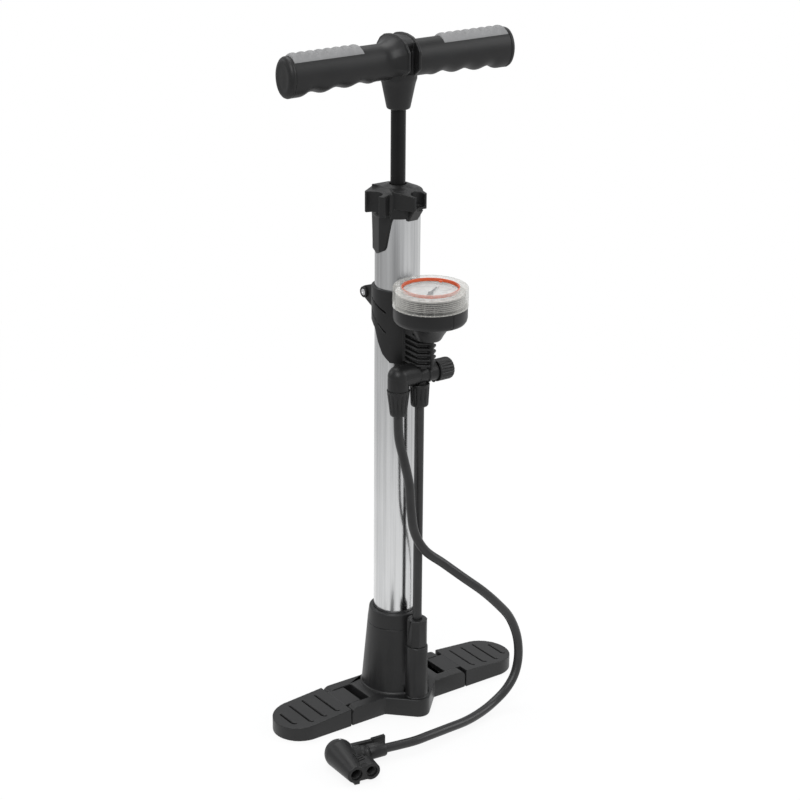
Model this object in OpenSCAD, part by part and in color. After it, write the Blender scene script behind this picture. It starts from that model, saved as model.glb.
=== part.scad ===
// Floor pump with folding feet, a round gauge on a ribbed bracket and a hose with a twin valve head.
// Millimetres. Z is up, the handle lies along X, the gauge faces -Y.
// The origin is on the floor below the barrel.

/* [Barrel and rod] */
// Outside diameter of the barrel
barrel_d = 38; // [36:0.5:40]
// Wall of the barrel
barrel_wall = 1.2; // [0.8:0.1:2]
// Height of the barrel's upper end above the floor
barrel_top = 468; // [450:1:520]
// Diameter of the piston rod
rod_d = 12.5; // [10:0.5:14]
// Length of rod between the cap and the handle at rest
rod_out = 62.6; // [30:0.2:90]

/* [Handle] */
// Length of the handle over its end caps
handle_len = 222; // [212:1:240]
// Thickness of the grip along Y
grip_w = 26; // [24:0.5:29]
// Height of the grip
grip_h = 33.4; // [31:0.2:36]
// Diameter of the two hub flanges
hub_d = 46.4; // [44:0.2:50]
// Width of the hose groove in the hub
hose_groove = 8; // [7:0.5:9]

/* [Base] */
// Length of the base over both feet
base_span = 251; // [240:1:275]
// Width of the base arms
base_w = 48; // [46:1:54]
// Thickness of the base plate
base_t = 17; // [16:0.5:19]
// Height of the tower that holds the barrel
tower_h = 78; // [72:1:88]
// Height of the collar on the tower
collar_h = 14; // [10:0.5:18]

/* [Gauge] */
// Diameter of the clear gauge lens
gauge_d = 62.6; // [60:0.2:66]
// Height of the seat of the gauge lens
gauge_z = 386; // [376:1:396]

/* [Air line] */
// Distance of the feed tube from the barrel axis
line_y = 33.5; // [33:0.5:36]
// Diameter of the feed tube
tube_d = 8; // [7:0.5:9]
// Diameter of the hose
hose_d = 8; // [7:0.5:8.5]

/* [Valve head] */
// Distance between the two valve ports
port_pitch = 14; // [13.5:0.5:16]

/* [Hidden] */
$fn = 64;
fit = 0.05;
gap = 0.3;
bar_r = barrel_d / 2;
bore_r = bar_r - barrel_wall;
rod_r = rod_d / 2;
tube_r = tube_d / 2;
hose_r = hose_d / 2;

// Base and feet
arm_y = base_w / 2;
foot_tip = base_span / 2;
knuckle_r = 6.4;
pin_r = 2;
pin_x = foot_tip - 69.7;
pin_z = base_t - knuckle_r;
arm_end = pin_x + knuckle_r;
foot_in = arm_end + 0.9;
slot_in = pin_x - 18.3;
slot_web = 2.5;
slot_y = arm_y - 9.7;
tongue_y = slot_y - 0.4;
tail_x = pin_x - 9.6;
foot_top = base_t - 0.2;
foot_end_t = base_t - 5;
foot_slope = atan((foot_top - foot_end_t) / (foot_tip - foot_in));
tread_step = (foot_tip - foot_in) * 0.216;
tread_y = arm_y - 6.4;
last_tread_y = arm_y - 13;
tower_r = bar_r + 5.4;
tower_foot = tower_r + 5.2;
pad_r = tower_foot + 1.4;
nose_r = 10.6;
nose_y = line_y + 2.5;
nose_side = nose_y + nose_r * sqrt(2);
boss_r = 9.65;
boss_h = tower_h - 12;
barrel_z = 22;
spring_top = boss_h - 12.9;
seat_z = spring_top - 13.1;
ball_r = 3.2;
ball_z = seat_z + 2.8;

// Barrel cap, measured from the barrel's upper end
cap_r = bar_r + 2;
cap_rim = 4.5;
cap_deck = 7.6;
cap_crown = 9.4;
cap_low = -16;
bush_r = 9;
clip_top = 5.2;
clip_low = -12.6;
left_clip_r = 8.8;
left_clip_x = -(bar_r + 9);
left_clip_y = -3.4;
front_clip_r = 6;
front_clip_x = 1.7;
front_clip_y = -(bar_r + 7);

// Handle
hub_z = barrel_top + cap_crown + rod_out;
grip_z = hub_z + 38.2;
grip_a = grip_w / 2;
grip_b = grip_h / 2;
hub_r = hub_d / 2;
hub_half = 23;
rim_half = 7.4;
seam_x = handle_len / 2 - 5;
pad_in = 39.5;
pad_out = seam_x - 1;
pad_y = 0.667 * grip_a;
pad_z = grip_z + 0.6 * grip_b;
pad_ribs = 8;
pad_pitch = (pad_out - pad_in) / pad_ribs;
scoop_r = 22;
scoop_h = 5.6;
scoops = [41, 63.5, 87.5];

// Piston
piston_z = 91;
piston_h = 22;

// Gauge and bracket
lens_r = gauge_d / 2;
window_r = lens_r - 7.1;
window_z = 13.4;
gauge_x = -2.5;
gauge_y = -(bar_r + gap + lens_r);
saddle_r = bar_r + 2.6;
neck_top = gauge_z - 28.2;
neck_low = gauge_z - 56.4;
neck_x = 10;
neck_mid = 2;
fin_pitch = 4.87;
fin_t = 1.9;
bowl_y = 4.8;
prow_y = -(bar_r + 20.9);
prow_out = 7.8;
ear_gap = 2.4;
ear_x = ear_gap + 3.6;
ear_y = bar_r + 20.2;
ear_z = gauge_z - 12;
ear_r = 5.2;
line_z = gauge_z - 66;
elbow_x = -22;
elbow_r = 9.1;
pipe_r = 7.8;
nut_top = line_z - 9.4;
nut_low = nut_top - 23;
nut_seat = nut_top - 12;
tube_nut_top = line_z - 8;
tube_nut_low = tube_nut_top - 20;
tube_top = tube_nut_top - 12;

// Valve head, in its own frame: ports towards -Y, hose along +X
head_at = [-107.8, -108.7, 0];
head_turn = -10;
head_z = 9.6;
port_x = port_pitch / 2;
head_r = 12.7;
head_tip = 7.9;
head_tilt = 2.2;
head_back = 36;
schrader_end = 17;
presta_end = 13;
seal_lip = 2.5;
hose_y = 30;
lever_x = -5;
lever_y = 39;
lever_tip = 39.2;
cam_r = 7;
cam_off = 1;
sleeve_in = 9.4;
sleeve_out = 33;
hose_stop = 20.2;

// Hose route: from the hose nut down, forward round the bend, along the floor to the head
function in_head(p) = [head_at[0] + p[0] * cos(head_turn) - p[1] * sin(head_turn),
                       head_at[1] + p[0] * sin(head_turn) + p[1] * cos(head_turn), p[2]];
route = [[elbow_x, -line_y, nut_seat - 1], [elbow_x, -line_y, nut_low - 4], [-21.5, -34.5, 266],
         [-19, -38.5, 247], [-16.5, -42.5, 226.5], [-16.5, -45.5, 205], [-14.5, -48, 184], [-6, -52, 166],
         [10.5, -57, 151], [28, -62.5, 135], [46.5, -66, 118.5], [63, -67, 101.5], [77, -66.5, 84.5],
         [85.5, -67, 64.5], [87, -68.5, 45], [81.5, -71, 29], [70.5, -73, 17.5], [54, -75.5, 10],
         [36, -80, 7.5], [16.5, -84.5, 7.5], [-5, -87.5, 9], [-25.5, -89.5, 10], in_head([62, hose_y, 10]),
         in_head([47, hose_y, head_z]), in_head([sleeve_out + 2, hose_y, head_z]),
         in_head([hose_stop, hose_y, head_z])];
route_steps = 3;
hose_sides = 12;

// Shared shapes
module xrod(r, x0, x1) translate([x0, 0, 0]) rotate([0, 90, 0]) cylinder(r = r, h = x1 - x0);
module yrod(r, y0, y1) translate([0, y1, 0]) rotate([90, 0, 0]) cylinder(r = r, h = y1 - y0);
module zrod(r, z0, z1) translate([0, 0, z0]) cylinder(r = r, h = z1 - z0);
module cone(r0, r1, z0, z1) translate([0, 0, z0]) cylinder(r1 = r0, r2 = r1, h = z1 - z0);
module box(a, b) translate(a) cube(b - a);
module slab_x(pts, x0, x1) translate([x0, 0, 0]) rotate([90, 0, 90]) linear_extrude(x1 - x0) polygon(pts);
module slab_y(pts, y0, y1) translate([0, y1, 0]) rotate([90, 0, 0]) linear_extrude(y1 - y0) polygon(pts);
module slab_z(pts, z0, z1) translate([0, 0, z0]) linear_extrude(z1 - z0) polygon(pts);
module both() {
    children();
    mirror([1, 0, 0]) children();
}
module fluted_cone(r_top, r_low, z_top, z_low, flutes, cut) difference() {
    cone(r_low, r_top, z_low, z_top);
    for (i = [0 : flutes - 1])
        rotate([0, 0, (i + 0.5) * 360 / flutes])
            translate([r_low + 0.35 * cut, 0, z_low - 1])
                rotate([0, atan((r_top - r_low) / (z_top - z_low)), 0])
                    cylinder(r = cut, h = z_top - z_low - 1.5);
}

// Base
module arm_slot() {
    box([slot_in, -slot_y, slot_web], [arm_end + 1, slot_y, base_t + 1]);
    box([tail_x + 0.6, -slot_y, -1], [arm_end + 1, slot_y, slot_web + 1]);
    difference() {
        box([pin_x, -arm_y - 1, pin_z], [arm_end + 1, arm_y + 1, base_t + 1]);
        translate([pin_x, 0, pin_z]) yrod(knuckle_r, -arm_y - 2, arm_y + 2);
    }
    translate([pin_x, 0, pin_z]) yrod(pin_r, -arm_y + 3, arm_y + 1);
}
module base_body() color("#2c2c2f") difference() {
    union() {
        box([-arm_end, -arm_y, 0], [arm_end, arm_y, base_t]);
        zrod(pad_r, 0, base_t);
        slab_z([[arm_y - nose_side, -arm_y], [-nose_r / sqrt(2), -nose_y - nose_r / sqrt(2)],
                [nose_r / sqrt(2), -nose_y - nose_r / sqrt(2)], [nose_side - arm_y, -arm_y]], 0, base_t);
        translate([0, -nose_y, 0]) zrod(nose_r, 0, base_t);
        rotate_extrude() polygon([[0, base_t - 1], [pad_r - 0.4, base_t - 1], [pad_r - 0.4, base_t + 0.6],
                                  [tower_foot + 0.4, base_t + 1.4], [tower_foot, base_t + 1.8],
                                  [tower_r, tower_h], [0, tower_h]]);
        translate([0, -line_y, 0]) zrod(boss_r, base_t - 1, boss_h);
    }
    both() arm_slot();
    zrod(bar_r + fit, barrel_z, tower_h + 1);
    zrod(bore_r - 2, barrel_z - 7, barrel_z + 1);
    zrod(bar_r + 2.35, barrel_z + 6.4, barrel_z + 9);
    translate([0, 0, barrel_z - 3.5]) yrod(1.8, -line_y, 0);
    translate([0, -line_y, 0]) zrod(2, barrel_z - 5, seat_z + 1);
    translate([0, -line_y, 0]) zrod(4.4, seat_z, spring_top);
    translate([0, -line_y, 0]) zrod(7, spring_top, boss_h + 1);
    difference() {
        zrod(pad_r - 5, -1, base_t - 7);
        box([-pad_r, -2, -2], [pad_r, 2, base_t]);
        box([-2, -pad_r, -2], [2, pad_r, base_t]);
    }
}
module barrel_collar() color("#29292c") difference() {
    rotate_extrude() polygon([[bar_r + fit, tower_h], [tower_r, tower_h], [tower_r, tower_h + 1],
                              [tower_r - 1.5, tower_h + collar_h - 0.8], [tower_r - 2.2, tower_h + collar_h],
                              [bar_r + fit, tower_h + collar_h]]);
    for (a = [15, 105, 195, 285])
        rotate([0, 0, a])
            box([tower_r - 2.6, -1, tower_h + collar_h - 2], [tower_r + 1, 1, tower_h + collar_h + 1]);
}
module barrel_seal() color("#151516") rotate_extrude()
    translate([bar_r + fit + 1.15, barrel_z + 7.7]) circle(r = 1.15);

// Feet
module tread(x, y0, y1, depth) translate([x, 0, foot_top - abs(abs(x) - foot_in) * tan(foot_slope)])
    rotate([0, x > 0 ? foot_slope : -foot_slope, 0]) {
        box([-1, y0 + 3, -depth], [1, y1, 3]);
        translate([3, y0 + 3, 0]) intersection() {
            difference() {
                zrod(4, -depth, 3);
                zrod(2, -depth - 1, 4);
            }
            box([-5, -5, -depth - 2], [0, 0, 5]);
        }
    }
module foot_blank() difference() {
    union() {
        intersection() {
            union() {
                box([foot_in, -arm_y, 0], [foot_tip - arm_y, arm_y, base_t]);
                translate([foot_tip - arm_y, 0, 0]) zrod(arm_y, 0, base_t);
            }
            slab_y([[foot_in, 0], [foot_tip, 0], [foot_tip, foot_end_t], [foot_in, foot_top]], -arm_y, arm_y);
        }
        box([tail_x, -tongue_y, pin_z + 0.9], [foot_in + 1, tongue_y, base_t - 0.5]);
        box([pin_x, -tongue_y, pin_z - 5], [foot_in + 1, tongue_y, base_t - 0.5]);
        translate([pin_x, 0, pin_z]) yrod(knuckle_r - 0.5, -tongue_y, tongue_y);
    }
    translate([pin_x, 0, pin_z]) yrod(pin_r + fit, -arm_y, arm_y);
}
module foot_treads(side) {
    for (i = [0 : 2])
        tread(side * (foot_in + tread_step * (i + 0.85)), -tread_y, tread_y, 1);
    tread(side * (foot_in + tread_step * 3.85), -last_tread_y, last_tread_y, 1);
}
module right_foot() color("#303033") difference() {
    foot_blank();
    foot_treads(1);
}
module left_foot() color("#303033") difference() {
    mirror([1, 0, 0]) foot_blank();
    foot_treads(-1);
}
module right_foot_pin() color("#a9abad") translate([pin_x, 0, pin_z]) yrod(pin_r, -arm_y + 3, arm_y - 1);
module left_foot_pin() color("#a9abad") translate([-pin_x, 0, pin_z]) yrod(pin_r, -arm_y + 3, arm_y - 1);

// Barrel and cap
module barrel() color("#c3c5c8") difference() {
    zrod(bar_r, barrel_z, barrel_top);
    zrod(bore_r, barrel_z - 1, barrel_top + 1);
}
module top_cap() color("#29292c") translate([0, 0, barrel_top]) difference() {
    union() {
        rotate_extrude() polygon([[0, cap_low], [cap_r, cap_low], [cap_r, cap_rim - 1], [cap_r - 0.8, cap_rim],
                                  [8, cap_crown], [0, cap_crown]]);
        slab_z([[-15.7, 15.5], [-13.4, 9], [-12.2, -7], [-15, -14.4], [-10, -12], [10, -8], [13, 0], [12.5, 7],
                [8, 12.5], [1, 15.2]], 0, cap_deck);
        intersection() {
            difference() {
                slab_z(bar_r / 19 * [[-15, 17.4], [-17.6, 13], [-21.7, -3.8], [-15.6, -15.8], [0, -12],
                                     [0, 17.4]], -49, -15);
                zrod(bar_r, -50, -14);
            }
            slab_x([[-14, -15], [-12.7, -19], [-9.1, -41], [-7.5, -43.7], [1.4, -48.1], [10.5, -45.7], [11, -31],
                    [12.5, -15]], -cap_r - 1, 0);
        }
        slab_z([[-6, bar_r - 1], [-14, bar_r - 1], [left_clip_x + 0.8, 8.6], [left_clip_x, 7.4],
                [left_clip_x, -13.4], [left_clip_x + 3.4, -17], [-17.8, -13.4], [-6, -17]], clip_low, clip_top);
        intersection() {
            slab_z([[-15.8, -13.4], [-5.4, front_clip_y - 4.4], [-3.4, front_clip_y - 4.6],
                    [front_clip_x, front_clip_y - 1], [9.4, front_clip_y - 1.4], [10.6, front_clip_y], [10.6, -8]],
                   -7.6, cap_deck);
            slab_x([[-6, -8], [front_clip_y - 6, -8], [front_clip_y - 6, clip_top - 0.8], [-14, cap_deck - 0.1],
                    [-6, cap_deck - 0.1]], -20, 20);
        }
        slab_x([[-18, cap_low - 2], [-cap_r, cap_low - 2], [front_clip_y - 3, -7.6], [-18, -7.6]], -4.6, 5.4);
    }
    slab_y([[8, cap_low - 1], [17, -9.4], [60, -9.4], [60, cap_low - 1]], -60, 60);
    translate([left_clip_x - 0.4, left_clip_y, 0]) zrod(left_clip_r, clip_low - 1, 20);
    translate([front_clip_x, front_clip_y, 0]) zrod(front_clip_r, -5.6, 20);
    box([front_clip_x - 4.4, front_clip_y - 9, -5.6], [front_clip_x + 4.4, front_clip_y, 20]);
    box([3, -13.2, cap_rim], [6, -12.2, 20]);
    difference() {
        zrod(bar_r, -50, 0);
        zrod(bore_r - 0.1, -12, 1);
    }
    zrod(bore_r - 0.1, -17, -12);
    zrod(bush_r, -13, cap_crown - 1.8);
    zrod(rod_r + 1, -13, 20);
}
module rod_bush() color("#3a3a3c") translate([0, 0, barrel_top]) difference() {
    zrod(bush_r - fit, -11.9, cap_crown - 1.9);
    zrod(rod_r + fit, -13, 20);
}
module top_bumper() color("#1a1a1b") translate([0, 0, barrel_top]) difference() {
    zrod(bore_r - 0.1, -18, -12);
    zrod(rod_r + 1, -19, -11);
}

// Rod and piston
module piston_rod() color("#1d1d1f") difference() {
    zrod(rod_r, piston_z + piston_h, grip_z - 3);
    zrod(rod_r - 1.4, piston_z + piston_h - 1, grip_z);
    translate([0, 0, hub_z + 12]) yrod(1.5, -20, 20);
}
module rod_end() color("#9fa1a4") {
    zrod(4, piston_z - 4, piston_z + piston_h);
    zrod(rod_r - 1.4, piston_z + piston_h, piston_z + piston_h + 20);
}
module piston_head() color("#3a3a3c") difference() {
    zrod(bore_r - 0.4, piston_z, piston_z + piston_h);
    difference() {
        zrod(bore_r + 1, piston_z + 7, piston_z + 13);
        zrod(bore_r - 4, piston_z + 6, piston_z + 14);
    }
    zrod(4, piston_z - 1, piston_z + piston_h + 1);
}
module piston_seal() color("#151516") difference() {
    zrod(bore_r - 0.08, piston_z + 7, piston_z + 13);
    zrod(bore_r - 4, piston_z + 6, piston_z + 14);
}
module piston_nut() color("#9fa1a4") difference() {
    translate([0, 0, piston_z - 5]) cylinder(r = 7.5, h = 5, $fn = 6);
    zrod(4, piston_z - 6, piston_z + 1);
}

// Handle
function oval(a, b, n) = [for (i = [0 : n - 1]) [a * cos(i * 360 / n), b * sin(i * 360 / n)]];
module oval_bar(a, b, x0, x1) translate([0, 0, grip_z]) slab_x(oval(a, b, 48), x0, x1);
function hub_side(s) = [[0, s * hub_half], [grip_a - 0.4, s * hub_half], [grip_b - 1, s * (hub_half - 5)],
                        [hub_r - 4, s * (hub_half - 10)], [hub_r, s * (rim_half + 2.6)], [hub_r + 4, s * rim_half]];
module pad_space() box([pad_in, -pad_y, pad_z], [pad_out, pad_y, grip_z + hub_r]);
module handle_body() color("#2b2b2e") difference() {
    union() {
        difference() {
            oval_bar(grip_a, grip_b, -seam_x, seam_x);
            both() for (x = scoops)
                translate([x, 0, grip_z - grip_b + scoop_h - scoop_r]) yrod(scoop_r, -grip_w, grip_w);
        }
        intersection() {
            translate([0, 0, grip_z]) rotate([0, 90, 0]) rotate_extrude()
                polygon(concat(hub_side(-1), [for (i = [5 : -1 : 0]) hub_side(1)[i]]));
            translate([0, 0, grip_z]) slab_x([[-9, hub_r], [-18, hub_r - 4.6], [-hub_r, hub_r / 2], [-hub_r, -3.4],
                                              [-7, -15.6], [7, -15.6], [hub_r, -3.4], [hub_r, hub_r / 2],
                                              [18, hub_r - 4.6], [9, hub_r]], -hub_half, hub_half);
        }
        rotate_extrude() polygon([[0, hub_z], [9.2, hub_z], [9.9, hub_z + 0.8], [14.2, hub_z + 22],
                                  [14.2, hub_z + 26], [0, hub_z + 26]]);
    }
    difference() {
        translate([0, 0, grip_z]) xrod(hub_r + 1, -hose_groove / 2, hose_groove / 2);
        translate([0, 0, grip_z]) xrod(13.2, -hose_groove, hose_groove);
        intersection() {
            translate([0, 0, grip_z]) xrod(hub_r - 4.8, -hose_groove, hose_groove);
            box([-hose_groove, -14.5, grip_z], [hose_groove, 14.5, grip_z + hub_r]);
        }
        box([-hose_groove, -14.2, grip_z - hub_r - 2], [hose_groove, 14.2, grip_z - 6]);
    }
    both() pad_space();
    zrod(rod_r, hub_z - 1, grip_z - 3);
    translate([0, 0, hub_z + 12]) yrod(1.5, -10, 10);
}
module handle_pin() color("#9fa1a4") translate([0, 0, hub_z + 12]) yrod(1.5, -10, 10);
module grip_pad() intersection() {
    pad_space();
    oval_bar(grip_a + 0.6, grip_b + 0.9, pad_in - 1, pad_out + 1);
    slab_y(concat([[pad_in, pad_z]],
                  [for (i = [0 : 6 * pad_ribs])
                      [pad_in + i * pad_pitch / 6, grip_z + grip_b - 0.5 + 1.4 * abs(sin(i * 30))]],
                  [[pad_out, pad_z]]), -pad_y, pad_y);
}
module right_grip_pad() color("#9a9b9d") grip_pad();
module left_grip_pad() color("#9a9b9d") mirror([1, 0, 0]) grip_pad();
module end_cap() {
    oval_bar(grip_a, grip_b, seam_x, seam_x + 2.6);
    oval_bar(grip_a - 1.2, grip_b - 1.2, seam_x + 2.6, seam_x + 4);
    oval_bar(grip_a - 3.2, grip_b - 3.2, seam_x + 4, seam_x + 5);
}
module right_end_cap() color("#2b2b2e") end_cap();
module left_end_cap() color("#2b2b2e") mirror([1, 0, 0]) end_cap();

// Gauge bracket
module saddle_ring(z0, z1) difference() {
    zrod(saddle_r, z0, z1);
    zrod(bar_r, z0 - 1, z1 + 1);
}
module saddle_grooves() difference() {
    translate([0, 0, gauge_z]) {
        slab_x([[8.1, -7], [8.1, -5], [-10.1, -14.3], [-10.1, -16.3]], -40, 40);
        slab_x([[8.1, -18], [8.1, -16], [-10.1, -32], [-10.1, -34]], -40, 40);
    }
    zrod(saddle_r - 1.2, gauge_z - 80, gauge_z + 20);
}
module clamp_ear() difference() {
    union() {
        translate([0, 0, gauge_z])
            slab_x([[bar_r - 2, -28], [bar_r - 2, 2], [ear_y + 1.8, -7], [ear_y + 2.4, -16.5]], ear_gap, ear_x);
        translate([0, ear_y, ear_z]) xrod(ear_r, ear_gap, ear_x);
    }
    zrod(bar_r + 1, gauge_z - 60, gauge_z + 10);
    translate([0, ear_y, ear_z]) xrod(2, 0, ear_x + 1);
}
module neck_plan(inset, z0, z1)
    slab_z([[-neck_x + inset, -bar_r + 3], [-neck_x + inset, prow_y + inset / 2],
            [0, prow_y - prow_out + 1.3 * inset], [neck_x - inset, prow_y + inset / 2],
            [neck_x - inset, -bar_r + 3]], z0, z1);

module gauge_neck() difference() {
    translate([neck_mid, 0, 0]) {
        neck_plan(3.4, neck_low, neck_top);
        for (i = [0 : 5]) neck_plan(0, neck_low + fin_pitch * i, neck_low + fin_pitch * i + fin_t);
        both() box([-neck_x, -bar_r - 3.6, neck_low], [-neck_x + 4, -bar_r + 3, neck_top]);
        box([-1, prow_y - prow_out - 0.6, neck_low - 2.6], [1, prow_y - prow_out + 6, neck_top]);
        box([-neck_x, gauge_y + bowl_y + 12.6, neck_top - 1], [neck_x, -bar_r + 3, gauge_z - 14.6]);
    }
    zrod(bar_r + 1, neck_low - 1, gauge_z);
}

module gauge_bracket() color("#29292c") difference() {
    union() {
        intersection() {
            saddle_ring(gauge_z - 60, gauge_z + 4);
            translate([0, 0, gauge_z])
                slab_x([[-saddle_r - 1, -60], [-13.5, -59], [-7.2, -52], [-2.7, -43], [2, -31], [8, -27],
                        [saddle_r + 1, -26], [saddle_r + 1, 4], [-saddle_r - 1, 4]], -saddle_r - 1, saddle_r + 1);
        }
        both() clamp_ear();
        gauge_neck();
    }
    saddle_grooves();
    box([-ear_gap, 0, gauge_z - 61], [ear_gap, saddle_r + 1, gauge_z + 5]);
    translate([gauge_x, gauge_y, 0]) zrod(lens_r + 0.1, gauge_z - 14.5, gauge_z + 20);
}
module clamp_bolt() color("#b4b6b8") translate([0, ear_y, ear_z]) {
    xrod(3.5, -ear_x - 2.2, -ear_x);
    xrod(2, -ear_x, ear_x + 4.4);
}
module clamp_nut() color("#9fa1a4") translate([ear_x, ear_y, ear_z]) difference() {
    rotate([0, 90, 0]) cylinder(r = 4, h = 3, $fn = 6);
    xrod(2, -1, 4);
}

// Gauge, measured from the seat of its lens
module at_gauge() translate([gauge_x, gauge_y, gauge_z]) children();
module gauge_housing() color("#252528") at_gauge() difference() {
    union() {
        translate([0, bowl_y, 0]) rotate_extrude()
            polygon([[0, -28.2], [7.6, -28.2], [8.7, -27.4], [10.7, -22.5], [11.9, -17], [12.4, -14], [0, -14]]);
        rotate_extrude() polygon([[0, -14.5], [lens_r - 4.3, -14.5], [lens_r - 2, -13.6], [lens_r - 0.9, -12],
                                  [lens_r - 0.4, -9.5], [lens_r - 0.4, -0.2], [lens_r - 2.5, -0.2],
                                  [lens_r - 2.5, 8.4], [0, 8.4]]);
        translate([15.5, 4, 0]) zrod(4.5, -21, -14);
    }
    zrod(lens_r - 4.5, -12, 9);
    box([-0.3, -lens_r, -15], [0.3, 1 - lens_r, 0]);
}
module gauge_movement() color("#b89a55") at_gauge() difference() {
    union() {
        box([-12, -8, -12], [12, 8, -9]);
        zrod(4, -9, 4);
    }
    zrod(0.8, -6, 5);
}
module dial_plate() color("#e4e4e1") at_gauge() difference() {
    zrod(lens_r - 3.4, 8.4, 9.2);
    zrod(1.2, 8, 10);
}
module needle() color("#1c1c1e") at_gauge() rotate([0, 0, 35]) {
    zrod(0.8 - fit, -5.6, 10.2);
    zrod(2.2, 10.2, 11.2);
    slab_z([[-6, -1.1], [0, -1], [16, -0.3], [16, 0.3], [0, 1], [-6, 1.1]], 10.4, 11);
}
module gauge_lens() color("#d7dadb", 0.35) at_gauge() rotate_extrude()
    polygon([[lens_r - 2.2, 0.1], [lens_r, 0.1], [lens_r, 14.9], [lens_r - 1.4, 16.5], [window_r, 16.5],
             [window_r, window_z], [0, window_z], [0, window_z - 1.5], [lens_r - 2.2, window_z - 1.5]]);
module marker_ring() color("#d0592d") at_gauge() {
    difference() {
        zrod(window_r - 0.1, window_z, window_z + 3);
        zrod(window_r - 1.5, window_z - 1, window_z + 4);
    }
    rotate([0, 0, 31]) box([window_r - 3.8, -1.5, window_z], [window_r - 1, 1.5, window_z + 1.4]);
}

// Air line
module at_line() translate([0, -line_y, line_z]) children();
module manifold() color("#29292c") difference() {
    union() {
        at_line() xrod(pipe_r, -4, 15.3);
        at_line() xrod(4.5, 15.3, 26);
        at_line() intersection() {
            xrod(pipe_r + 1, 5, 6.8);
            box([4, -20, -6.5], [8, 0, 20]);
        }
        box([-3, -line_y - 5, line_z], [7, -line_y + 5, neck_low]);
        at_line() box([13.3, -1.5, -10], [15.3, 1.5, -5]);
        translate([0, -line_y, 0]) difference() {
            zrod(5.6, tube_top, line_z);
            box([-6, -6, tube_nut_top], [-4, 6, line_z + 1]);
        }
    }
    at_line() xrod(4.5, -5, 3.2);
    at_line() xrod(5.9, -1.7, 0.7);
    at_line() xrod(2.5, 2, 10);
    translate([0, -line_y, 0]) zrod(2.2, tube_top - 1, line_z);
}
module manifold_cap() color("#222225") at_line() difference() {
    union() {
        xrod(9.5, 15.6, 29);
        translate([29, 0, 0]) rotate([0, 90, 0]) cylinder(r1 = 9.5, r2 = 8, h = 1.5);
    }
    xrod(4.5 + fit, 15, 26.3);
    for (i = [0 : 19])
        rotate([i * 18, 0, 0]) translate([0, 0, 10]) xrod(0.9, 17.2, 32);
}
module hose_elbow() color("#2b2b2e") difference() {
    union() {
        translate([elbow_x, -line_y, line_z]) rotate_extrude()
            polygon([[0, nut_top - line_z], [elbow_r, nut_top - line_z], [elbow_r, 0.4], [elbow_r - 0.5, 3],
                     [elbow_r - 2, 5.8], [elbow_r - 4.2, 7.5], [elbow_r - 6.6, 8.1], [0, 8.1]]);
        at_line() xrod(pipe_r, elbow_x, -4);
        at_line() xrod(4.5, -4, 3.2);
        translate([elbow_x, -line_y, 0]) zrod(6, nut_seat, nut_top + 1);
    }
    at_line() xrod(2.5, elbow_x, 4);
    translate([elbow_x, -line_y, 0]) zrod(2.5, nut_seat - 1, line_z);
}
module elbow_seal() color("#151516") at_line() rotate([0, 90, 0]) rotate_extrude()
    translate([5.2, -0.5]) circle(r = 0.68);
module hose_nut() color("#222225") translate([elbow_x, -line_y, 0]) difference() {
    fluted_cone(9.7, 7.4, nut_top, nut_low, 14, 0.8);
    zrod(6, nut_seat, nut_top + 1);
    zrod(hose_r + fit, nut_low - 1, nut_seat + 1);
}
module tube_nut() color("#222225") translate([0, -line_y, 0]) difference() {
    fluted_cone(8.5, 7.5, tube_nut_top, tube_nut_low, 12, 0.8);
    zrod(5.6, tube_top, tube_nut_top + 1);
    zrod(tube_r, tube_nut_low - 1, tube_top + 1);
}
module feed_tube() color("#1f1f21") translate([0, -line_y, 0]) difference() {
    zrod(tube_r, boss_h + 5, tube_top);
    zrod(tube_r - 1.2, boss_h + 4, tube_top + 1);
}
module lower_gland() color("#29292c") translate([0, -line_y, 0]) difference() {
    union() {
        intersection() {
            rotate([0, 0, 22.5]) translate([0, 0, boss_h]) cylinder(r = 8.4 / cos(22.5), h = 26, $fn = 8);
            rotate_extrude() polygon([[0, boss_h], [9.2, boss_h], [9.2, boss_h + 24.6], [7.8, boss_h + 26],
                                      [0, boss_h + 26]]);
        }
        zrod(7, spring_top, boss_h + 1);
    }
    box([-20, line_y - tower_r - 1.4, boss_h], [20, 20, boss_h + 40]);
    zrod(tube_r, boss_h + 5, boss_h + 30);
    zrod(tube_r - 1.2, spring_top - 1, boss_h + 6);
}
module check_ball() color("#8f2f25") translate([0, -line_y, ball_z]) sphere(r = ball_r);

// Wound spring and hose: closed tubes built ring by ring
function unit(v) = v / norm(v);
function rings(path, r, sides) = [for (i = [0 : len(path) - 1])
    let (t = unit(path[min(i + 1, len(path) - 1)] - path[max(i - 1, 0)]),
         u = unit(cross(t, abs(t[2]) > 0.9 ? [0, 1, 0] : [0, 0, 1])), v = cross(t, u))
        for (k = [0 : sides - 1]) path[i] + r * cos(k * 360 / sides) * u + r * sin(k * 360 / sides) * v];
module tube_along(points, count, sides) polyhedron(points = points, faces = concat(
    [[for (k = [0 : sides - 1]) k]],
    [[for (k = [0 : sides - 1]) (count - 1) * sides + sides - 1 - k]],
    [for (i = [0 : count - 2]) for (k = [0 : sides - 1])
        [i * sides + k, (i + 1) * sides + k, (i + 1) * sides + (k + 1) % sides]],
    [for (i = [0 : count - 2]) for (k = [0 : sides - 1])
        [i * sides + k, (i + 1) * sides + (k + 1) % sides, i * sides + (k + 1) % sides]]));
spring_turns = 5;
spring_wire = 0.35;
spring_low = ball_z + ball_r + 0.1 + spring_wire;
spring_high = spring_top - 0.1 - spring_wire;
spring_path = [for (i = [0 : 8 * spring_turns])
    [2.6 * cos(i * 45), 2.6 * sin(i * 45), spring_low + (spring_high - spring_low) * i / (8 * spring_turns)]];
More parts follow.
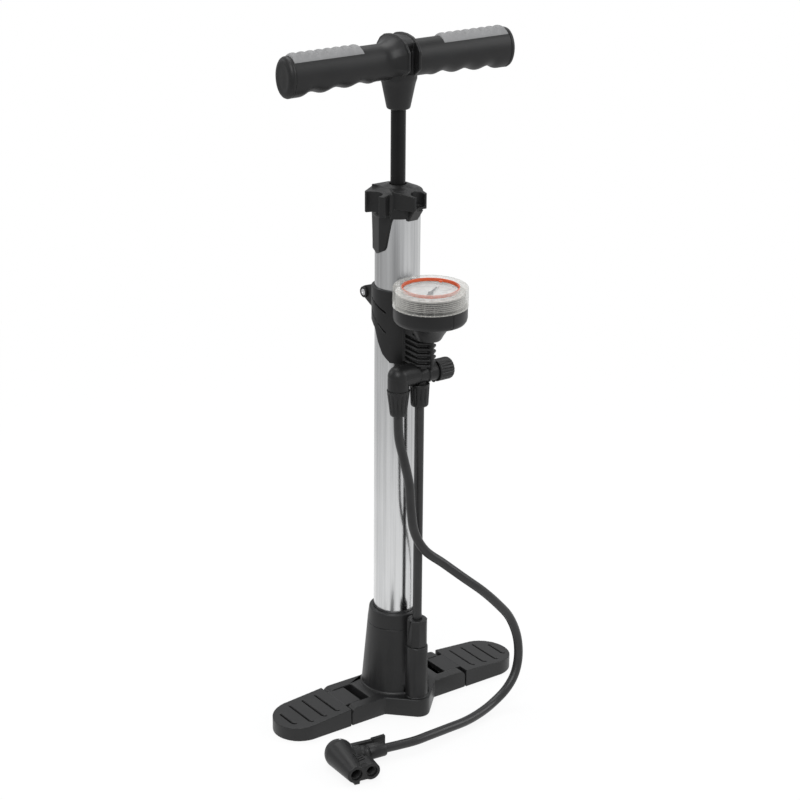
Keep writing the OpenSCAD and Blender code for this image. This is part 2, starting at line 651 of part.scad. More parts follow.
spring_gap = min([for (i = [0 : len(spring_path) - 9]) norm(spring_path[i + 8] - spring_path[i])])
             - 2 * spring_wire;
echo(spring_gap = spring_gap);
module check_spring() color("#a9abad") translate([0, -line_y, 0])
    tube_along(rings(spring_path, spring_wire, 6), len(spring_path), 6);

function blend_at(a, b, c, d, t) = 0.5 * (2 * b + (c - a) * t + (2 * a - 5 * b + 4 * c - d) * t * t
                                          + (3 * b - a - 3 * c + d) * t * t * t);
route_last = len(route) - 1;
hose_path = concat([for (i = [0 : route_last - 1]) for (s = [0 : route_steps - 1])
    blend_at(route[max(i - 1, 0)], route[i], route[i + 1], route[min(i + 2, route_last)], s / route_steps)],
    [route[route_last]]);
function carry(u, t) = unit(u - (u * t) * t);
function tangent(p, i) = unit(p[min(i + 1, len(p) - 1)] - p[max(i - 1, 0)]);
function frames(p, i, u) =
    i >= len(p) ? [] : let (w = carry(u, tangent(p, i))) concat([w], frames(p, i + 1, w));
hose_sides_u = frames(hose_path, 0, [1, 0, 0]);
hose_points = [for (i = [0 : len(hose_path) - 1])
    let (t = tangent(hose_path, i), u = hose_sides_u[i], v = cross(t, u))
        for (k = [0 : hose_sides - 1])
            hose_path[i] + hose_r * cos(k * 360 / hose_sides) * u + hose_r * sin(k * 360 / hose_sides) * v];
module hose() color("#1c1c1e") tube_along(hose_points, len(hose_path), hose_sides);

// Valve head
module at_head() translate(head_at) rotate([0, 0, head_turn]) children();
module at_axis(x) translate([x, 0, head_z]) children();
module head_profile() intersection() {
    union() {
        polygon([[0, 0], [head_tip - 0.7, 0], [head_tip, 0.7], [head_r - 0.2, head_back - 2], [0, head_back]]);
        translate([0, head_back]) circle(r = head_r);
    }
    square([head_r + 1, head_back + head_r + 1]);
}

module head_body() color("#29292c") at_head() difference() {
    union() {
        at_axis(-port_x) rotate([head_tilt - 90, 0, 0]) rotate_extrude() head_profile();
        box([-port_x - 2, 0, 0.4], [-port_x + 3, 8, 4]);
        at_axis(port_x) yrod(7.6, 0, 14);
        box([-port_x, 0.3, 3], [port_x - 0.6, 17.6, head_z + 6.3]);
        translate([0, hose_y, head_z]) xrod(8, -port_x, sleeve_in);
    }
    box([-40, -5, -20], [60, 60, 0]);
    at_axis(-port_x) yrod(5.2, -1, 33);
    at_axis(port_x) yrod(5, -1, presta_end);
    translate([0, hose_y, head_z]) xrod(5, 3.4, sleeve_in + 1);
    translate([lever_x, lever_y, 0]) zrod(cam_r + cam_off + 0.5, head_z - 3.6, head_z + 3.6);
    box([lever_x, lever_y - 0.6, head_z - 3.6], [20, 60, head_z + 3.6]);
    box([lever_x - cam_r - cam_off - 0.5, lever_y, head_z - 3.6], [lever_x + 1, 60, head_z + 3.6]);
    translate([lever_x, lever_y, 0]) zrod(1.5, 1.4, 30);
    for (i = [0 : 2])
        translate([-1.5 + 2.6 * i, 14.5 - 1.2 * i, head_z + 4]) rotate([0, 0, 20])
            box([-0.6, -4, 0], [0.6, 4, 10]);
}
module head_lever() color("#252528") at_head() difference() {
    union() {
        translate([lever_x - cam_off, lever_y, 0]) zrod(cam_r, head_z - 3.3, head_z + 3.3);
        slab_z([[lever_x, lever_y + 6], [8, 45], [28, 44.8], [lever_tip, 46], [lever_tip, 42.4], [28, 41.4],
                [10, 40.6], [lever_x, lever_y]], head_z - 3.3, head_z + 3.3);
        slab_z([[26, 44.8], [28, 44.8], [lever_tip, 46], [lever_tip, 42.4], [28, 41.4], [26, 41.3]],
               head_z - 4.3, head_z + 4.4);
    }
    translate([lever_x, lever_y, 0]) zrod(1.5 + fit, 0, 30);
}
module lever_pin() color("#b9bbbd") at_head() translate([lever_x, lever_y, 0]) zrod(1.5, 1.4, head_z + 13.1);
module head_plunger() color("#3a3a3c") at_head() at_axis(-port_x) yrod(5.15, 20, lever_y - cam_r - 0.35);
module hose_sleeve() color("#222225") at_head() translate([0, hose_y, head_z]) difference() {
    union() {
        xrod(5, 3.4, sleeve_in);
        xrod(6.9, sleeve_in, sleeve_in + 6);
        xrod(6.2, sleeve_in + 6, sleeve_in + 7.4);
        translate([sleeve_in + 7.4, 0, 0]) rotate([0, 90, 0])
            cylinder(r1 = 6.9, r2 = 6.1, h = sleeve_out - sleeve_in - 7.4);
    }
    xrod(hose_r + fit, hose_stop - 0.1, sleeve_out + 1);
    xrod(2, 3, hose_stop);
}
module schrader_seal() color("#171718") at_head() at_axis(-port_x) difference() {
    yrod(5.2, seal_lip, schrader_end);
    yrod(4.05, seal_lip - 1, schrader_end + 1);
}
module presta_seal() color("#171718") at_head() at_axis(port_x) difference() {
    yrod(5, seal_lip, presta_end);
    yrod(3.15, seal_lip - 1, presta_end + 1);
}

base_body();
barrel_collar();
barrel_seal();
left_foot();
right_foot();
left_foot_pin();
right_foot_pin();
barrel();
top_cap();
rod_bush();
top_bumper();
piston_rod();
rod_end();
piston_head();
piston_seal();
piston_nut();
handle_body();
handle_pin();
left_grip_pad();
right_grip_pad();
left_end_cap();
right_end_cap();
gauge_bracket();
clamp_bolt();
clamp_nut();
gauge_housing();
gauge_movement();
dial_plate();
needle();
gauge_lens();
marker_ring();
manifold();
manifold_cap();
hose_elbow();
elbow_seal();
hose_nut();
tube_nut();
feed_tube();
lower_gland();
check_ball();
check_spring();
hose();
head_body();
head_lever();
lever_pin();
head_plunger();
hose_sleeve();
schrader_seal();
presta_seal();
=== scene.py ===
"""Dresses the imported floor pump: handle, barrel, gauge, air line, folding base and valve head."""

import logging
import math
from collections.abc import Callable
from dataclasses import dataclass, field
from enum import Enum

import bmesh
import bpy
from mathutils import Matrix, Vector
from mathutils.bvhtree import BVHTree


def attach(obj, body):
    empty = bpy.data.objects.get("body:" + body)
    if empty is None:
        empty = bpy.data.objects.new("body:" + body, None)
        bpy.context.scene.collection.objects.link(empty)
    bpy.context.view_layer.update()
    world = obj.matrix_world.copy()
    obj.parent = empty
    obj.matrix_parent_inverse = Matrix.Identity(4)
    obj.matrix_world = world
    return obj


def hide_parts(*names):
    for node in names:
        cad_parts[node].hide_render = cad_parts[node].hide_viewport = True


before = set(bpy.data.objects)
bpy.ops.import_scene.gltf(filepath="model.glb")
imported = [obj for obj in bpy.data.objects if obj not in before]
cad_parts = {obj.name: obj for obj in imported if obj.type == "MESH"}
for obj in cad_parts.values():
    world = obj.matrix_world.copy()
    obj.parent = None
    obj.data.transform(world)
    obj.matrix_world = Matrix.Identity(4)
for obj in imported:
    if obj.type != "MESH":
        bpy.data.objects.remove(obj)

log = logging.getLogger("floor_pump")
MM = 0.001
UP = Vector((0.0, 0.0, 1.0))
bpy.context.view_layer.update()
WHITE = (1.0, 1.0, 1.0, 1.0)
PLASTIC_IOR = 1.49
RUBBER_IOR = 1.45
HEAD_AT = (-107.8, -108.7)
HEAD_TURN_DEG = -10.0
TURNED_DEG = 35.0
MOULDED_DEG = 50.0
RIBBED_DEG = 60.0
Point = tuple[float, float, float]
Colour = tuple[float, float, float]


class Body(Enum):
    """The moving groups that a piece can ride on."""

    FRAME = "frame"
    HANDLE = "handle_group"
    BUSH = "bush_body"
    LEFT_FOOT = "left_foot_body"
    RIGHT_FOOT = "right_foot_body"
    NEEDLE = "needle_body"
    LENS = "lens_body"
    RELIEF_CAP = "relief_cap_body"
    BALL = "ball_body"
    LEVER = "lever_body"
    PLUNGER = "plunger_body"


class Slot(Enum):
    """The record's material slots."""

    BLACK = "black_plastic"
    INNER = "inner_plastic"
    RUBBER = "black_rubber"
    STEEL = "steel"
    BARREL = "barrel_aluminium"
    ROD = "black_rod"
    PAD = "grey_pad"
    BRASS = "brass"
    DIAL = "dial_white"
    NEEDLE = "needle_black"
    LENS = "clear_lens"
    ORANGE = "marker_orange"


# Shader wrapper
class Sock:
    """A shader socket whose arithmetic adds Math nodes."""

    def __init__(self, tree: "ShaderTree", socket: bpy.types.NodeSocket) -> None:
        """Keeps the tree and the output socket."""
        self.tree = tree
        self.socket = socket

    def _math(self, operation: str, *values: "Sock | float") -> "Sock":
        """Adds one Math node.

        Args:
            operation: the node's operation.
            values: the inputs in order.

        Returns:
            The node's value.
        """
        node = self.tree.add("ShaderNodeMath", {"operation": operation}, dict(enumerate(values)))
        return Sock(self.tree, node.outputs[0])

    def __add__(self, other: "Sock | float") -> "Sock":
        """Sum."""
        return self._math("ADD", self, other)

    def __radd__(self, other: float) -> "Sock":
        """Sum with a number first."""
        return self._math("ADD", other, self)

    def __sub__(self, other: "Sock | float") -> "Sock":
        """Difference."""
        return self._math("SUBTRACT", self, other)

    def __rsub__(self, other: float) -> "Sock":
        """Difference from a number."""
        return self._math("SUBTRACT", other, self)

    def __mul__(self, other: "Sock | float") -> "Sock":
        """Product."""
        return self._math("MULTIPLY", self, other)

    def __rmul__(self, other: float) -> "Sock":
        """Product with a number first."""
        return self._math("MULTIPLY", other, self)

    def __truediv__(self, other: "Sock | float") -> "Sock":
        """Quotient."""
        return self._math("DIVIDE", self, other)

    def root(self) -> "Sock":
        """Square root."""
        return self._math("SQRT", self)

    def cosine(self) -> "Sock":
        """Cosine."""
        return self._math("COSINE", self)

    def turn_of(self, other: "Sock | float") -> "Sock":
        """Angle whose tangent is the other over this."""
        return self._math("ARCTAN2", other, self)

    def at_most(self, other: "Sock | float") -> "Sock":
        """The smaller of the two."""
        return self._math("MINIMUM", self, other)

    def at_least(self, other: "Sock | float") -> "Sock":
        """The greater of the two."""
        return self._math("MAXIMUM", self, other)

    def rise(self, start: float, width: float) -> "Sock":
        """Climbs from 0 at the start to 1 over the width, and stays there."""
        return ((self - start) / width).at_least(0.0).at_most(1.0)


class ShaderTree:
    """The node tree of a material or of the world, with one method that adds nodes."""

    def __init__(self, holder: bpy.types.Material | bpy.types.World) -> None:
        """Empties the tree of a new material or world.

        Args:
            holder: the material or the world.
        """
        self.holder = holder
        holder.use_nodes = True
        self.nodes = holder.node_tree.nodes
        self.links = holder.node_tree.links
        self.nodes.clear()

    def add(self, kind: str, settings: dict | None = None,
            sockets: dict | None = None) -> bpy.types.Node:
        """Adds a node.

        Args:
            kind: the node's type.
            settings: values set on the node first.
            sockets: values or links of its inputs, by name or place.

        Returns:
            The new node.
        """
        node = self.nodes.new(kind)
        for key, value in (settings or {}).items():
            setattr(node, key, value)
        for key, value in (sockets or {}).items():
            target = node.inputs[key]
            if isinstance(value, Sock):
                self.links.new(value.socket, target)
            else:
                target.default_value = value
        return node

    def out(self, node: bpy.types.Node, key: str | int = 0) -> Sock:
        """An output of a node as a Sock."""
        return Sock(self, node.outputs[key])

    def coords(self, scale: Point = (1.0, 1.0, 1.0)) -> Sock:
        """Object coordinates through a Mapping node.

        Args:
            scale: factor on each axis.

        Returns:
            The mapped vector.
        """
        where = self.add("ShaderNodeTexCoord")
        mapped = self.add("ShaderNodeMapping", None, {"Vector": self.out(where, "Object"), "Scale": scale})
        return self.out(mapped)

    def places(self) -> list[Sock]:
        """X, Y and Z of the Object coordinates."""
        split = self.add("ShaderNodeSeparateXYZ", None, {0: self.coords()})
        return [self.out(split, axis) for axis in range(3)]

    def noise(self, scale: float, detail: float = 3.0, stretch: Point = (1.0, 1.0, 1.0)) -> Sock:
        """Noise on Object coordinates.

        Args:
            scale: features to the metre.
            detail: octaves.
            stretch: factor on each axis before the noise.

        Returns:
            The noise value around one half.
        """
        node = self.add("ShaderNodeTexNoise", None, {
            "Vector": self.coords(stretch), "Scale": scale, "Detail": detail, "Roughness": 0.55})
        return self.out(node, "Fac")

    def mix(self, amount: Sock, first: Colour, second: Colour) -> Sock:
        """A colour between two by an amount from 0 to 1.

        Args:
            amount: how much of the second colour.
            first: colour at 0.
            second: colour at 1.

        Returns:
            The mixed colour.
        """
        node = self.add("ShaderNodeMix", {"data_type": "RGBA", "clamp_factor": True},
                        {0: amount, 6: (*first, 1.0), 7: (*second, 1.0)})
        return Sock(self, node.outputs[2])

    def bump(self, height: Sock, depth_mm: float) -> Sock:
        """A bumped normal.

        Args:
            height: height from 0 to 1.
            depth_mm: what height 1 stands for.

        Returns:
            The normal.
        """
        node = self.add("ShaderNodeBump", None,
                        {"Height": height, "Distance": depth_mm * MM, "Strength": 1.0})
        return self.out(node)

    def blend(self, amount: Sock, first: bpy.types.Node, second: bpy.types.Node) -> bpy.types.Node:
        """Mixes two shaders.

        Args:
            amount: how much of the second one.
            first: the shader at 0.
            second: the shader at 1.

        Returns:
            The Mix Shader node.
        """
        return self.add("ShaderNodeMixShader", None, {0: amount, 1: self.out(first), 2: self.out(second)})

    def end(self, shader: bpy.types.Node, kind: str = "ShaderNodeOutputMaterial") -> None:
        """Joins the last shader to an output node of that kind."""
        self.add(kind, None, {0: self.out(shader)})

    def surface(self, sockets: dict) -> bpy.types.Material:
        """Ends the tree in a Principled shader.

        Args:
            sockets: the shader's values or links.

        Returns:
            The material.
        """
        self.end(self.add("ShaderNodeBsdfPrincipled", None, sockets))
        return self.holder


def new_tree(name: str) -> ShaderTree:
    """The empty tree of a new material of that name."""
    return ShaderTree(bpy.data.materials.new(name))


# Finishes
@dataclass(frozen=True)
class MouldedPlastic:
    """Moulded plastic with a fine eroded grain and a faint flow mottle."""

    name: str
    colour: Colour
    lighter: Colour
    rough: float
    grain_mm: float = 0.35
    grain_depth: float = 0.012
    sheen: float = 0.3

    def make(self) -> bpy.types.Material:
        """Builds the material.

        Returns:
            The material.
        """
        tree = new_tree(self.name)
        flow = tree.noise(45.0, 4.0)
        grain = tree.noise(1000.0 / self.grain_mm, 2.0)
        scuffs = tree.noise(260.0, 5.0, (1.0, 1.0, 0.35))
        worn = (scuffs - 0.62).at_least(0.0) * 2.2
        tint = (flow * 0.75 + worn + grain * 0.12 - 0.18).at_least(0.0)
        rough = (flow - 0.5) * 0.16 + (grain - 0.5) * 0.1 - worn * 0.12 + self.rough
        return tree.surface({
            "Base Color": tree.mix(tint, self.colour, self.lighter),
            "Roughness": rough,
            "IOR": PLASTIC_IOR,
            "Specular IOR Level": self.sheen,
            "Normal": tree.bump(grain, self.grain_depth),
        })


@dataclass(frozen=True)
class DrawnMetal:
    """Bright metal with fine lines left by drawing or polishing along one axis, with painted shade that
    darkens it above a given height.
    """

    name: str
    colour: Colour
    darker: Colour
    rough: float
    stretch: Point
    lines: float = 2600.0
    line_depth: float = 0.004
    # Heights in metres over which painted shade darkens the colour; the default lies out of reach.
    fade: tuple[float, float] = (9.0, 10.0)

    def make(self) -> bpy.types.Material:
        """Builds the material.

        Returns:
            The material.
        """
        tree = new_tree(self.name)
        fine = tree.noise(self.lines, 3.0, self.stretch)
        broad = tree.noise(self.lines * 0.16, 2.0, self.stretch)
        streak = tree.noise(self.lines * 0.05, 1.0, self.stretch)
        haze = tree.noise(22.0, 3.0)
        # Painted shade: the colour turns darker between the two given heights and stays darker above them.
        low, high = self.fade
        upper_shade = tree.places()[2].rise(low, high - low)
        tint = fine * 0.4 + (broad - 0.5) * 1.7 + (streak - 0.5) * 1.5 + haze * 0.2 + upper_shade * 0.2 - 0.17
        return tree.surface({
            "Base Color": tree.mix(tint.at_least(0.0), self.colour, self.darker),
            "Metallic": 1.0,
            "Roughness": (fine - 0.5) * 0.14 + (haze - 0.5) * 0.1 + self.rough,
            "Normal": tree.bump(fine * 0.7 + broad * 0.3, self.line_depth),
        })


@dataclass(frozen=True)
class SoftRubber:
    """Soft rubber with a powdery bloom."""

    name: str
    colour: Colour
    bloom: Colour
    rough: float
    grain_mm: float = 0.5

    def make(self) -> bpy.types.Material:
        """Builds the material.

        Returns:
            The material.
        """
        tree = new_tree(self.name)
        cloud = tree.noise(60.0, 5.0)
        grain = tree.noise(1000.0 / self.grain_mm, 2.0)
        return tree.surface({
            "Base Color": tree.mix((cloud - 0.35).at_least(0.0) * 1.6, self.colour, self.bloom),
            "Roughness": (cloud - 0.5) * 0.2 + (grain - 0.5) * 0.08 + self.rough,
            "IOR": RUBBER_IOR,
            "Normal": tree.bump(grain, 0.02),
        })


@dataclass(frozen=True)
class ClearPlastic:
    """Clear moulded plastic, milkier at a grazing look and along the ribs round its wall."""

    name: str
    colour: Colour
    clear: float
    edge: float
    ribs: float = 0.0
    count: float = 24.0
    axis: tuple[float, float] = (-2.5, -50.6)

    def make(self) -> bpy.types.Material:
        """Builds the material.

        Returns:
            The material.
        """
        tree = new_tree(self.name)
        facing = tree.out(tree.add("ShaderNodeLayerWeight", None, {"Blend": 0.4}), "Facing")
        haze = tree.noise(160.0, 4.0)
        x, y, _ = tree.places()
        turn = (x - self.axis[0] * MM).turn_of(y - self.axis[1] * MM)
        rib = ((turn * self.count).cosine() - 0.95).at_least(0.0) * 20.0
        alpha = facing * (self.edge - self.clear) + (haze - 0.5) * 0.16 + rib * self.ribs + self.clear
        return tree.surface({
            "Base Color": tree.mix(haze, self.colour, tuple(0.92 * c for c in self.colour)),
            "Roughness": (haze - 0.5) * 0.1 + 0.12,
            "IOR": PLASTIC_IOR,
            "Specular IOR Level": 0.2,
            "Alpha": alpha.at_least(0.02).at_most(1.0),
            "Normal": tree.bump(haze * 0.4 + rib * 0.6, 0.08),
        })


@dataclass(frozen=True)
class BrightEnamel:
    """Bright opaque plastic or print with faint unevenness."""

    name: str
    colour: Colour
    deeper: Colour
    rough: float

    def make(self) -> bpy.types.Material:
        """Builds the material.

        Returns:
            The material.
        """
        tree = new_tree(self.name)
        cloud = tree.noise(120.0, 3.0)
        grain = tree.noise(2200.0, 2.0)
        return tree.surface({
            "Base Color": tree.mix((cloud - 0.3).at_least(0.0) * 1.3, self.colour, self.deeper),
            "Roughness": (grain - 0.5) * 0.1 + self.rough,
            "Normal": tree.bump(grain, 0.006),
        })


class Palette:
    """All finishes of the pump, made once."""

    def __init__(self) -> None:
        """Makes every material."""
        self.black = MouldedPlastic("satin_black_plastic", (0.0085, 0.0085, 0.0086),
                                    (0.0195, 0.0195, 0.0198), 0.42).make()
        self.base = MouldedPlastic("base_black_plastic", (0.009, 0.009, 0.0092),
                                   (0.02, 0.02, 0.0204), 0.42, sheen=0.36).make()
        self.inner = MouldedPlastic("inner_grey_plastic", (0.06, 0.06, 0.062), (0.1, 0.1, 0.1), 0.5).make()
        self.gloss = MouldedPlastic("gauge_case_plastic", (0.007, 0.007, 0.0072),
                                    (0.014, 0.014, 0.0143), 0.36, grain_mm=0.5, grain_depth=0.006).make()
        self.rod = MouldedPlastic("coated_rod", (0.0042, 0.0042, 0.0043), (0.0088, 0.0088, 0.0089), 0.3,
                                  grain_mm=0.6, grain_depth=0.004, sheen=0.2).make()
        self.shade = MouldedPlastic("groove_shade", (0.0015, 0.0015, 0.0015), (0.003, 0.003, 0.003), 0.7,
                                    sheen=0.05).make()
        self.hose = SoftRubber("hose_rubber", (0.011, 0.011, 0.0112), (0.023, 0.023, 0.0235), 0.36).make()
        self.rubber = SoftRubber("seal_rubber", (0.011, 0.011, 0.011), (0.026, 0.026, 0.026), 0.6).make()
        self.pad = SoftRubber("grey_grip_rubber", (0.185, 0.185, 0.186), (0.26, 0.26, 0.262), 0.62,
                              grain_mm=0.4).make()
        # The barrel's upper part is darkened with painted shade from 0.19 m to 0.29 m up.
        self.barrel = DrawnMetal("polished_barrel", (0.66, 0.665, 0.67), (0.44, 0.445, 0.45), 0.2,
                                 (1.0, 1.0, 0.012), fade=(0.19, 0.29)).make()
        self.steel = DrawnMetal("zinc_steel", (0.6, 0.6, 0.61), (0.4, 0.4, 0.41), 0.3,
                                (1.0, 1.0, 1.0)).make()
        self.brass = DrawnMetal("plain_brass", (0.6, 0.44, 0.18), (0.42, 0.3, 0.12), 0.32,
                                (1.0, 1.0, 1.0)).make()
        self.lens = ClearPlastic("clear_lens_plastic", (0.62, 0.61, 0.57), 0.03, 0.7, ribs=0.1).make()
        self.rim = ClearPlastic("lens_rim_plastic", (0.7, 0.69, 0.66), 0.12, 0.4, ribs=0.7,
                                count=54.0).make()
        self.pane = ClearPlastic("clear_pane_plastic", (0.72, 0.72, 0.71), 0.04, 0.34).make()
        self.thread = BrightEnamel("lens_thread_plastic", (0.34, 0.33, 0.31), (0.22, 0.215, 0.2), 0.3).make()
        self.orange = BrightEnamel("orange_marker", (0.62, 0.095, 0.025), (0.5, 0.07, 0.02), 0.35).make()
        self.dial = BrightEnamel("dial_card", (0.74, 0.74, 0.72), (0.66, 0.66, 0.65), 0.5).make()
        self.print = BrightEnamel("dial_print", (0.02, 0.02, 0.02), (0.03, 0.03, 0.03), 0.55).make()


# Mesh tools
@dataclass
class Maker:
    """Turns bmeshes and CAD nodes into finished pieces, and counts them."""

    palette: Palette
    sharp_deg: float = 26.0
    count: int = 0

    def piece(self, name: str, bm: bmesh.types.BMesh, material: bpy.types.Material, body: Body,
              slot: Slot, stands_for: tuple[str, ...] = (), smooth_deg: float = 40.0) -> bpy.types.Object:
        """Makes an object of a bmesh, dresses it and sets it on its body.

        Args:
            name: the piece's name.
            bm: its mesh, in metres.
            material: its finish.
            body: what it rides on.
            slot: the record's slot; not used.
            stands_for: CAD nodes that it replaces.
            smooth_deg: edges sharper than this stay sharp.

        Returns:
            The finished object.
        """
        mesh = bpy.data.meshes.new(name)
        bm.to_mesh(mesh)
        bm.free()
        mesh.materials.clear()
        mesh.materials.append(material)
        for face in mesh.polygons:
            face.use_smooth = True
            face.material_index = 0
        mesh.set_sharp_from_angle(angle=math.radians(smooth_deg))
        obj = bpy.data.objects.new(name, mesh)
        bpy.context.scene.collection.objects.link(obj)
        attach(obj, body.value)
        if stands_for:
            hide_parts(*stands_for)
        self.count += 1
        log.info("piece %s: %d faces on %s", name, len(mesh.polygons), body.value)
        return obj

    @staticmethod
    def loaded(node: str) -> bmesh.types.BMesh:
        """A CAD node's triangles, joined at their corners.

        Args:
            node: the node's name.

        Returns:
            The copy as a bmesh.
        """
        bm = bmesh.new()
        bm.from_mesh(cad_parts[node].data)
        bmesh.ops.remove_doubles(bm, verts=bm.verts, dist=0.002 * MM)
        return bm

    def merged(self, node: str) -> bmesh.types.BMesh:
        """A copy of a CAD node with its flat faces joined.

        Args:
            node: the node's name.

        Returns:
            The copy as a bmesh.
        """
        bm = self.loaded(node)
        bmesh.ops.dissolve_degenerate(bm, edges=bm.edges, dist=0.001 * MM)
        bmesh.ops.dissolve_limit(bm, angle_limit=math.radians(0.6), verts=bm.verts, edges=bm.edges)
        return bm

    def copied(self, node: str, material: bpy.types.Material, body: Body, slot: Slot) -> bpy.types.Object:
        """A copy of a CAD node, which stands for the node.

        Args:
            node: the node's name.
            material: its finish.
            body: what it rides on.
            slot: the record's slot.

        Returns:
            The copy.
        """
        return self.piece(f"{node}_soft", self.loaded(node), material, body, slot, (node,), MOULDED_DEG)

    def softened(self, node: str, material: bpy.types.Material, body: Body, slot: Slot,
                 width_mm: float) -> bpy.types.Object:
        """A copy of a CAD node with its sharp edges rounded, which stands for the node.

        Args:
            node: the node's name.
            material: its finish.
            body: what it rides on.
            slot: the record's slot.
            width_mm: width of the rounding where there is room.

        Returns:
            The finished object.
        """
        bm = self.merged(node)
        room = {}
        for edge in bm.edges:
            if edge.is_manifold and edge.calc_face_angle(0.0) > math.radians(self.sharp_deg):
                room[edge.index] = self._room(edge, width_mm * MM)
        obj = self.piece(f"{node}_soft", bm, material, body, slot, (node,), MOULDED_DEG)
        weights = obj.data.attributes.new("bevel_weight_edge", "FLOAT", "EDGE")
        for index, share in room.items():
            weights.data[index].value = share
        rounding = obj.modifiers.new("rounding", "BEVEL")
        rounding.limit_method = "WEIGHT"
        rounding.width = width_mm * MM
        rounding.segments = 2
        rounding.profile = 0.5
        rounding.use_clamp_overlap = False
        rounding.miter_outer = "MITER_ARC"
        rounding.harden_normals = True
        return obj

    @staticmethod
    def _room(edge: bmesh.types.BMEdge, width: float) -> float:
        """How much of the rounding fits on an edge.

        Args:
            edge: a sharp edge.
            width: the wanted width in metres.

        Returns:
            The share from 0 to 1.
        """
        share = 1.0
        for vert in edge.verts:
            along = edge.other_vert(vert).co - vert.co
            for other in vert.link_edges:
                if other is edge:
                    continue
                across = other.other_vert(vert).co - vert.co
                if along.length < 1e-9 or across.length < 1e-9:
                    return 0.0
                angle = along.angle(across)
                if angle < math.radians(140.0):
                    reach = across.length * max(math.sin(angle), 0.2)
                    share = min(share, 0.42 * reach / width)
        return max(share, 0.0)

    def lathe(self, profile: list[tuple[float, float]], steps: int = 96, at: Point = (0.0, 0.0, 0.0),
              axis: str = "Z", round_mm: float = 0.0, turn_deg: float = 0.0) -> bmesh.types.BMesh:
        """A turned solid.

        Args:
            profile: radius and height pairs in millimetres, from one end of the axis to the other.
            steps: steps of the full turn.
            at: place of the axis in millimetres.
            axis: Z, X or Y.
            round_mm: rounding of the profile's corners.
            turn_deg: turn of an X or Y axis about Z.

        Returns:
            The solid in metres.
        """
        bm = bmesh.new()
        verts = [bm.verts.new((radius * MM, 0.0, height * MM)) for radius, height in profile]
        for pair in zip(verts, verts[1:]):
            bm.edges.new(pair)
        if profile[0][0] > 0 and profile[-1][0] > 0:
            bm.edges.new((verts[-1], verts[0]))
        if round_mm > 0:
            corners = [v for v in verts if v.co.x > 1e-6 and len(v.link_edges) == 2]
            bmesh.ops.bevel(bm, geom=corners, offset=round_mm * MM, segments=3, profile=0.5,
                            affect="VERTICES", material=-1, clamp_overlap=True)
        bmesh.ops.spin(bm, geom=bm.verts[:] + bm.edges[:], cent=(0, 0, 0), axis=(0, 0, 1), dvec=(0, 0, 0),
                       angle=2 * math.pi, steps=steps, use_merge=True, use_duplicate=False)
        bmesh.ops.remove_doubles(bm, verts=bm.verts, dist=0.001 * MM)
        bmesh.ops.recalc_face_normals(bm, faces=bm.faces)
        bm.transform(placed(at, axis, turn_deg))
        return bm

    @staticmethod
    def box(size: Point, at: Point = (0.0, 0.0, 0.0)) -> bmesh.types.BMesh:
        """A plain box.

        Args:
            size: its sides in millimetres.
            at: its middle in millimetres.

        Returns:
            The box in metres.
        """
        bm = bmesh.new()
        bmesh.ops.create_cube(bm, size=1.0)
        bmesh.ops.scale(bm, vec=Vector(size) * MM, verts=bm.verts)
        bmesh.ops.translate(bm, vec=Vector(at) * MM, verts=bm.verts)
        return bm

    def rings(self, outlines: list[list[Vector]]) -> bmesh.types.BMesh:
        """A skin over a row of closed outlines, closed at both ends.

        Args:
            outlines: outlines with the same number of points, in millimetres.

        Returns:
            The solid in metres.
        """
        bm = bmesh.new()
        count = len(outlines[0])
        ring = bmesh.ops.create_circle(bm, cap_ends=False, segments=count, radius=1.0)["verts"]
        first = edges = list(bm.edges)
        for number, outline in enumerate(outlines):
            if number:
                grown = bmesh.ops.extrude_edge_only(bm, edges=edges)["geom"]
                edges = [g for g in grown if isinstance(g, bmesh.types.BMEdge)]
                ring = self._follow(ring, grown)
            for vert, place in zip(ring, outline):
                vert.co = place * MM
        bmesh.ops.holes_fill(bm, edges=list(first) + edges, sides=count)
        bmesh.ops.recalc_face_normals(bm, faces=bm.faces)
        return bm

    @staticmethod
    def _follow(ring: list[bmesh.types.BMVert], grown: list) -> list[bmesh.types.BMVert]:
        """The new ring's vertices in the order of the old one.

        Args:
            ring: the old ring.
            grown: what the extrusion made.

        Returns:
            The new ring.
        """
        fresh = {g for g in grown if isinstance(g, bmesh.types.BMVert)}
        following = []
        for vert in ring:
            beside = (edge.other_vert(vert) for edge in vert.link_edges)
            following.append(next(other for other in beside if other in fresh))
        return following

    def melted(self, obj: bpy.types.Object, voxel_mm: float, passes: int) -> bpy.types.Object:
        """Rounds every edge of a piece by a fine voxel skin that is then smoothed.

        Args:
            obj: the piece.
            voxel_mm: size of the voxels.
            passes: smoothing passes.

        Returns:
            The same piece with its new mesh.
        """
        skin = obj.modifiers.new("skin", "REMESH")
        skin.mode = "VOXEL"
        skin.voxel_size = voxel_mm * MM
        skin.use_smooth_shade = True
        even = obj.modifiers.new("even", "SMOOTH")
        even.factor = 0.5
        even.iterations = passes
        thin = obj.modifiers.new("thin", "DECIMATE")
        thin.decimate_type = "COLLAPSE"
        thin.ratio = 0.5
        return self.settled(obj)

    @staticmethod
    def settled(obj: bpy.types.Object) -> bpy.types.Object:
        """Turns a piece's modifiers into its mesh.

        Args:
            obj: the piece.

        Returns:
            The same piece.
        """
        graph = bpy.context.evaluated_depsgraph_get()
        graph.update()
        old = obj.data
        obj.data = bpy.data.meshes.new_from_object(obj.evaluated_get(graph))
        obj.modifiers.clear()
        obj.data.name = obj.name
        bpy.data.meshes.remove(old)
        for face in obj.data.polygons:
            face.use_smooth = True
        log.info("settled %s: %d faces", obj.name, len(obj.data.polygons))
        return obj


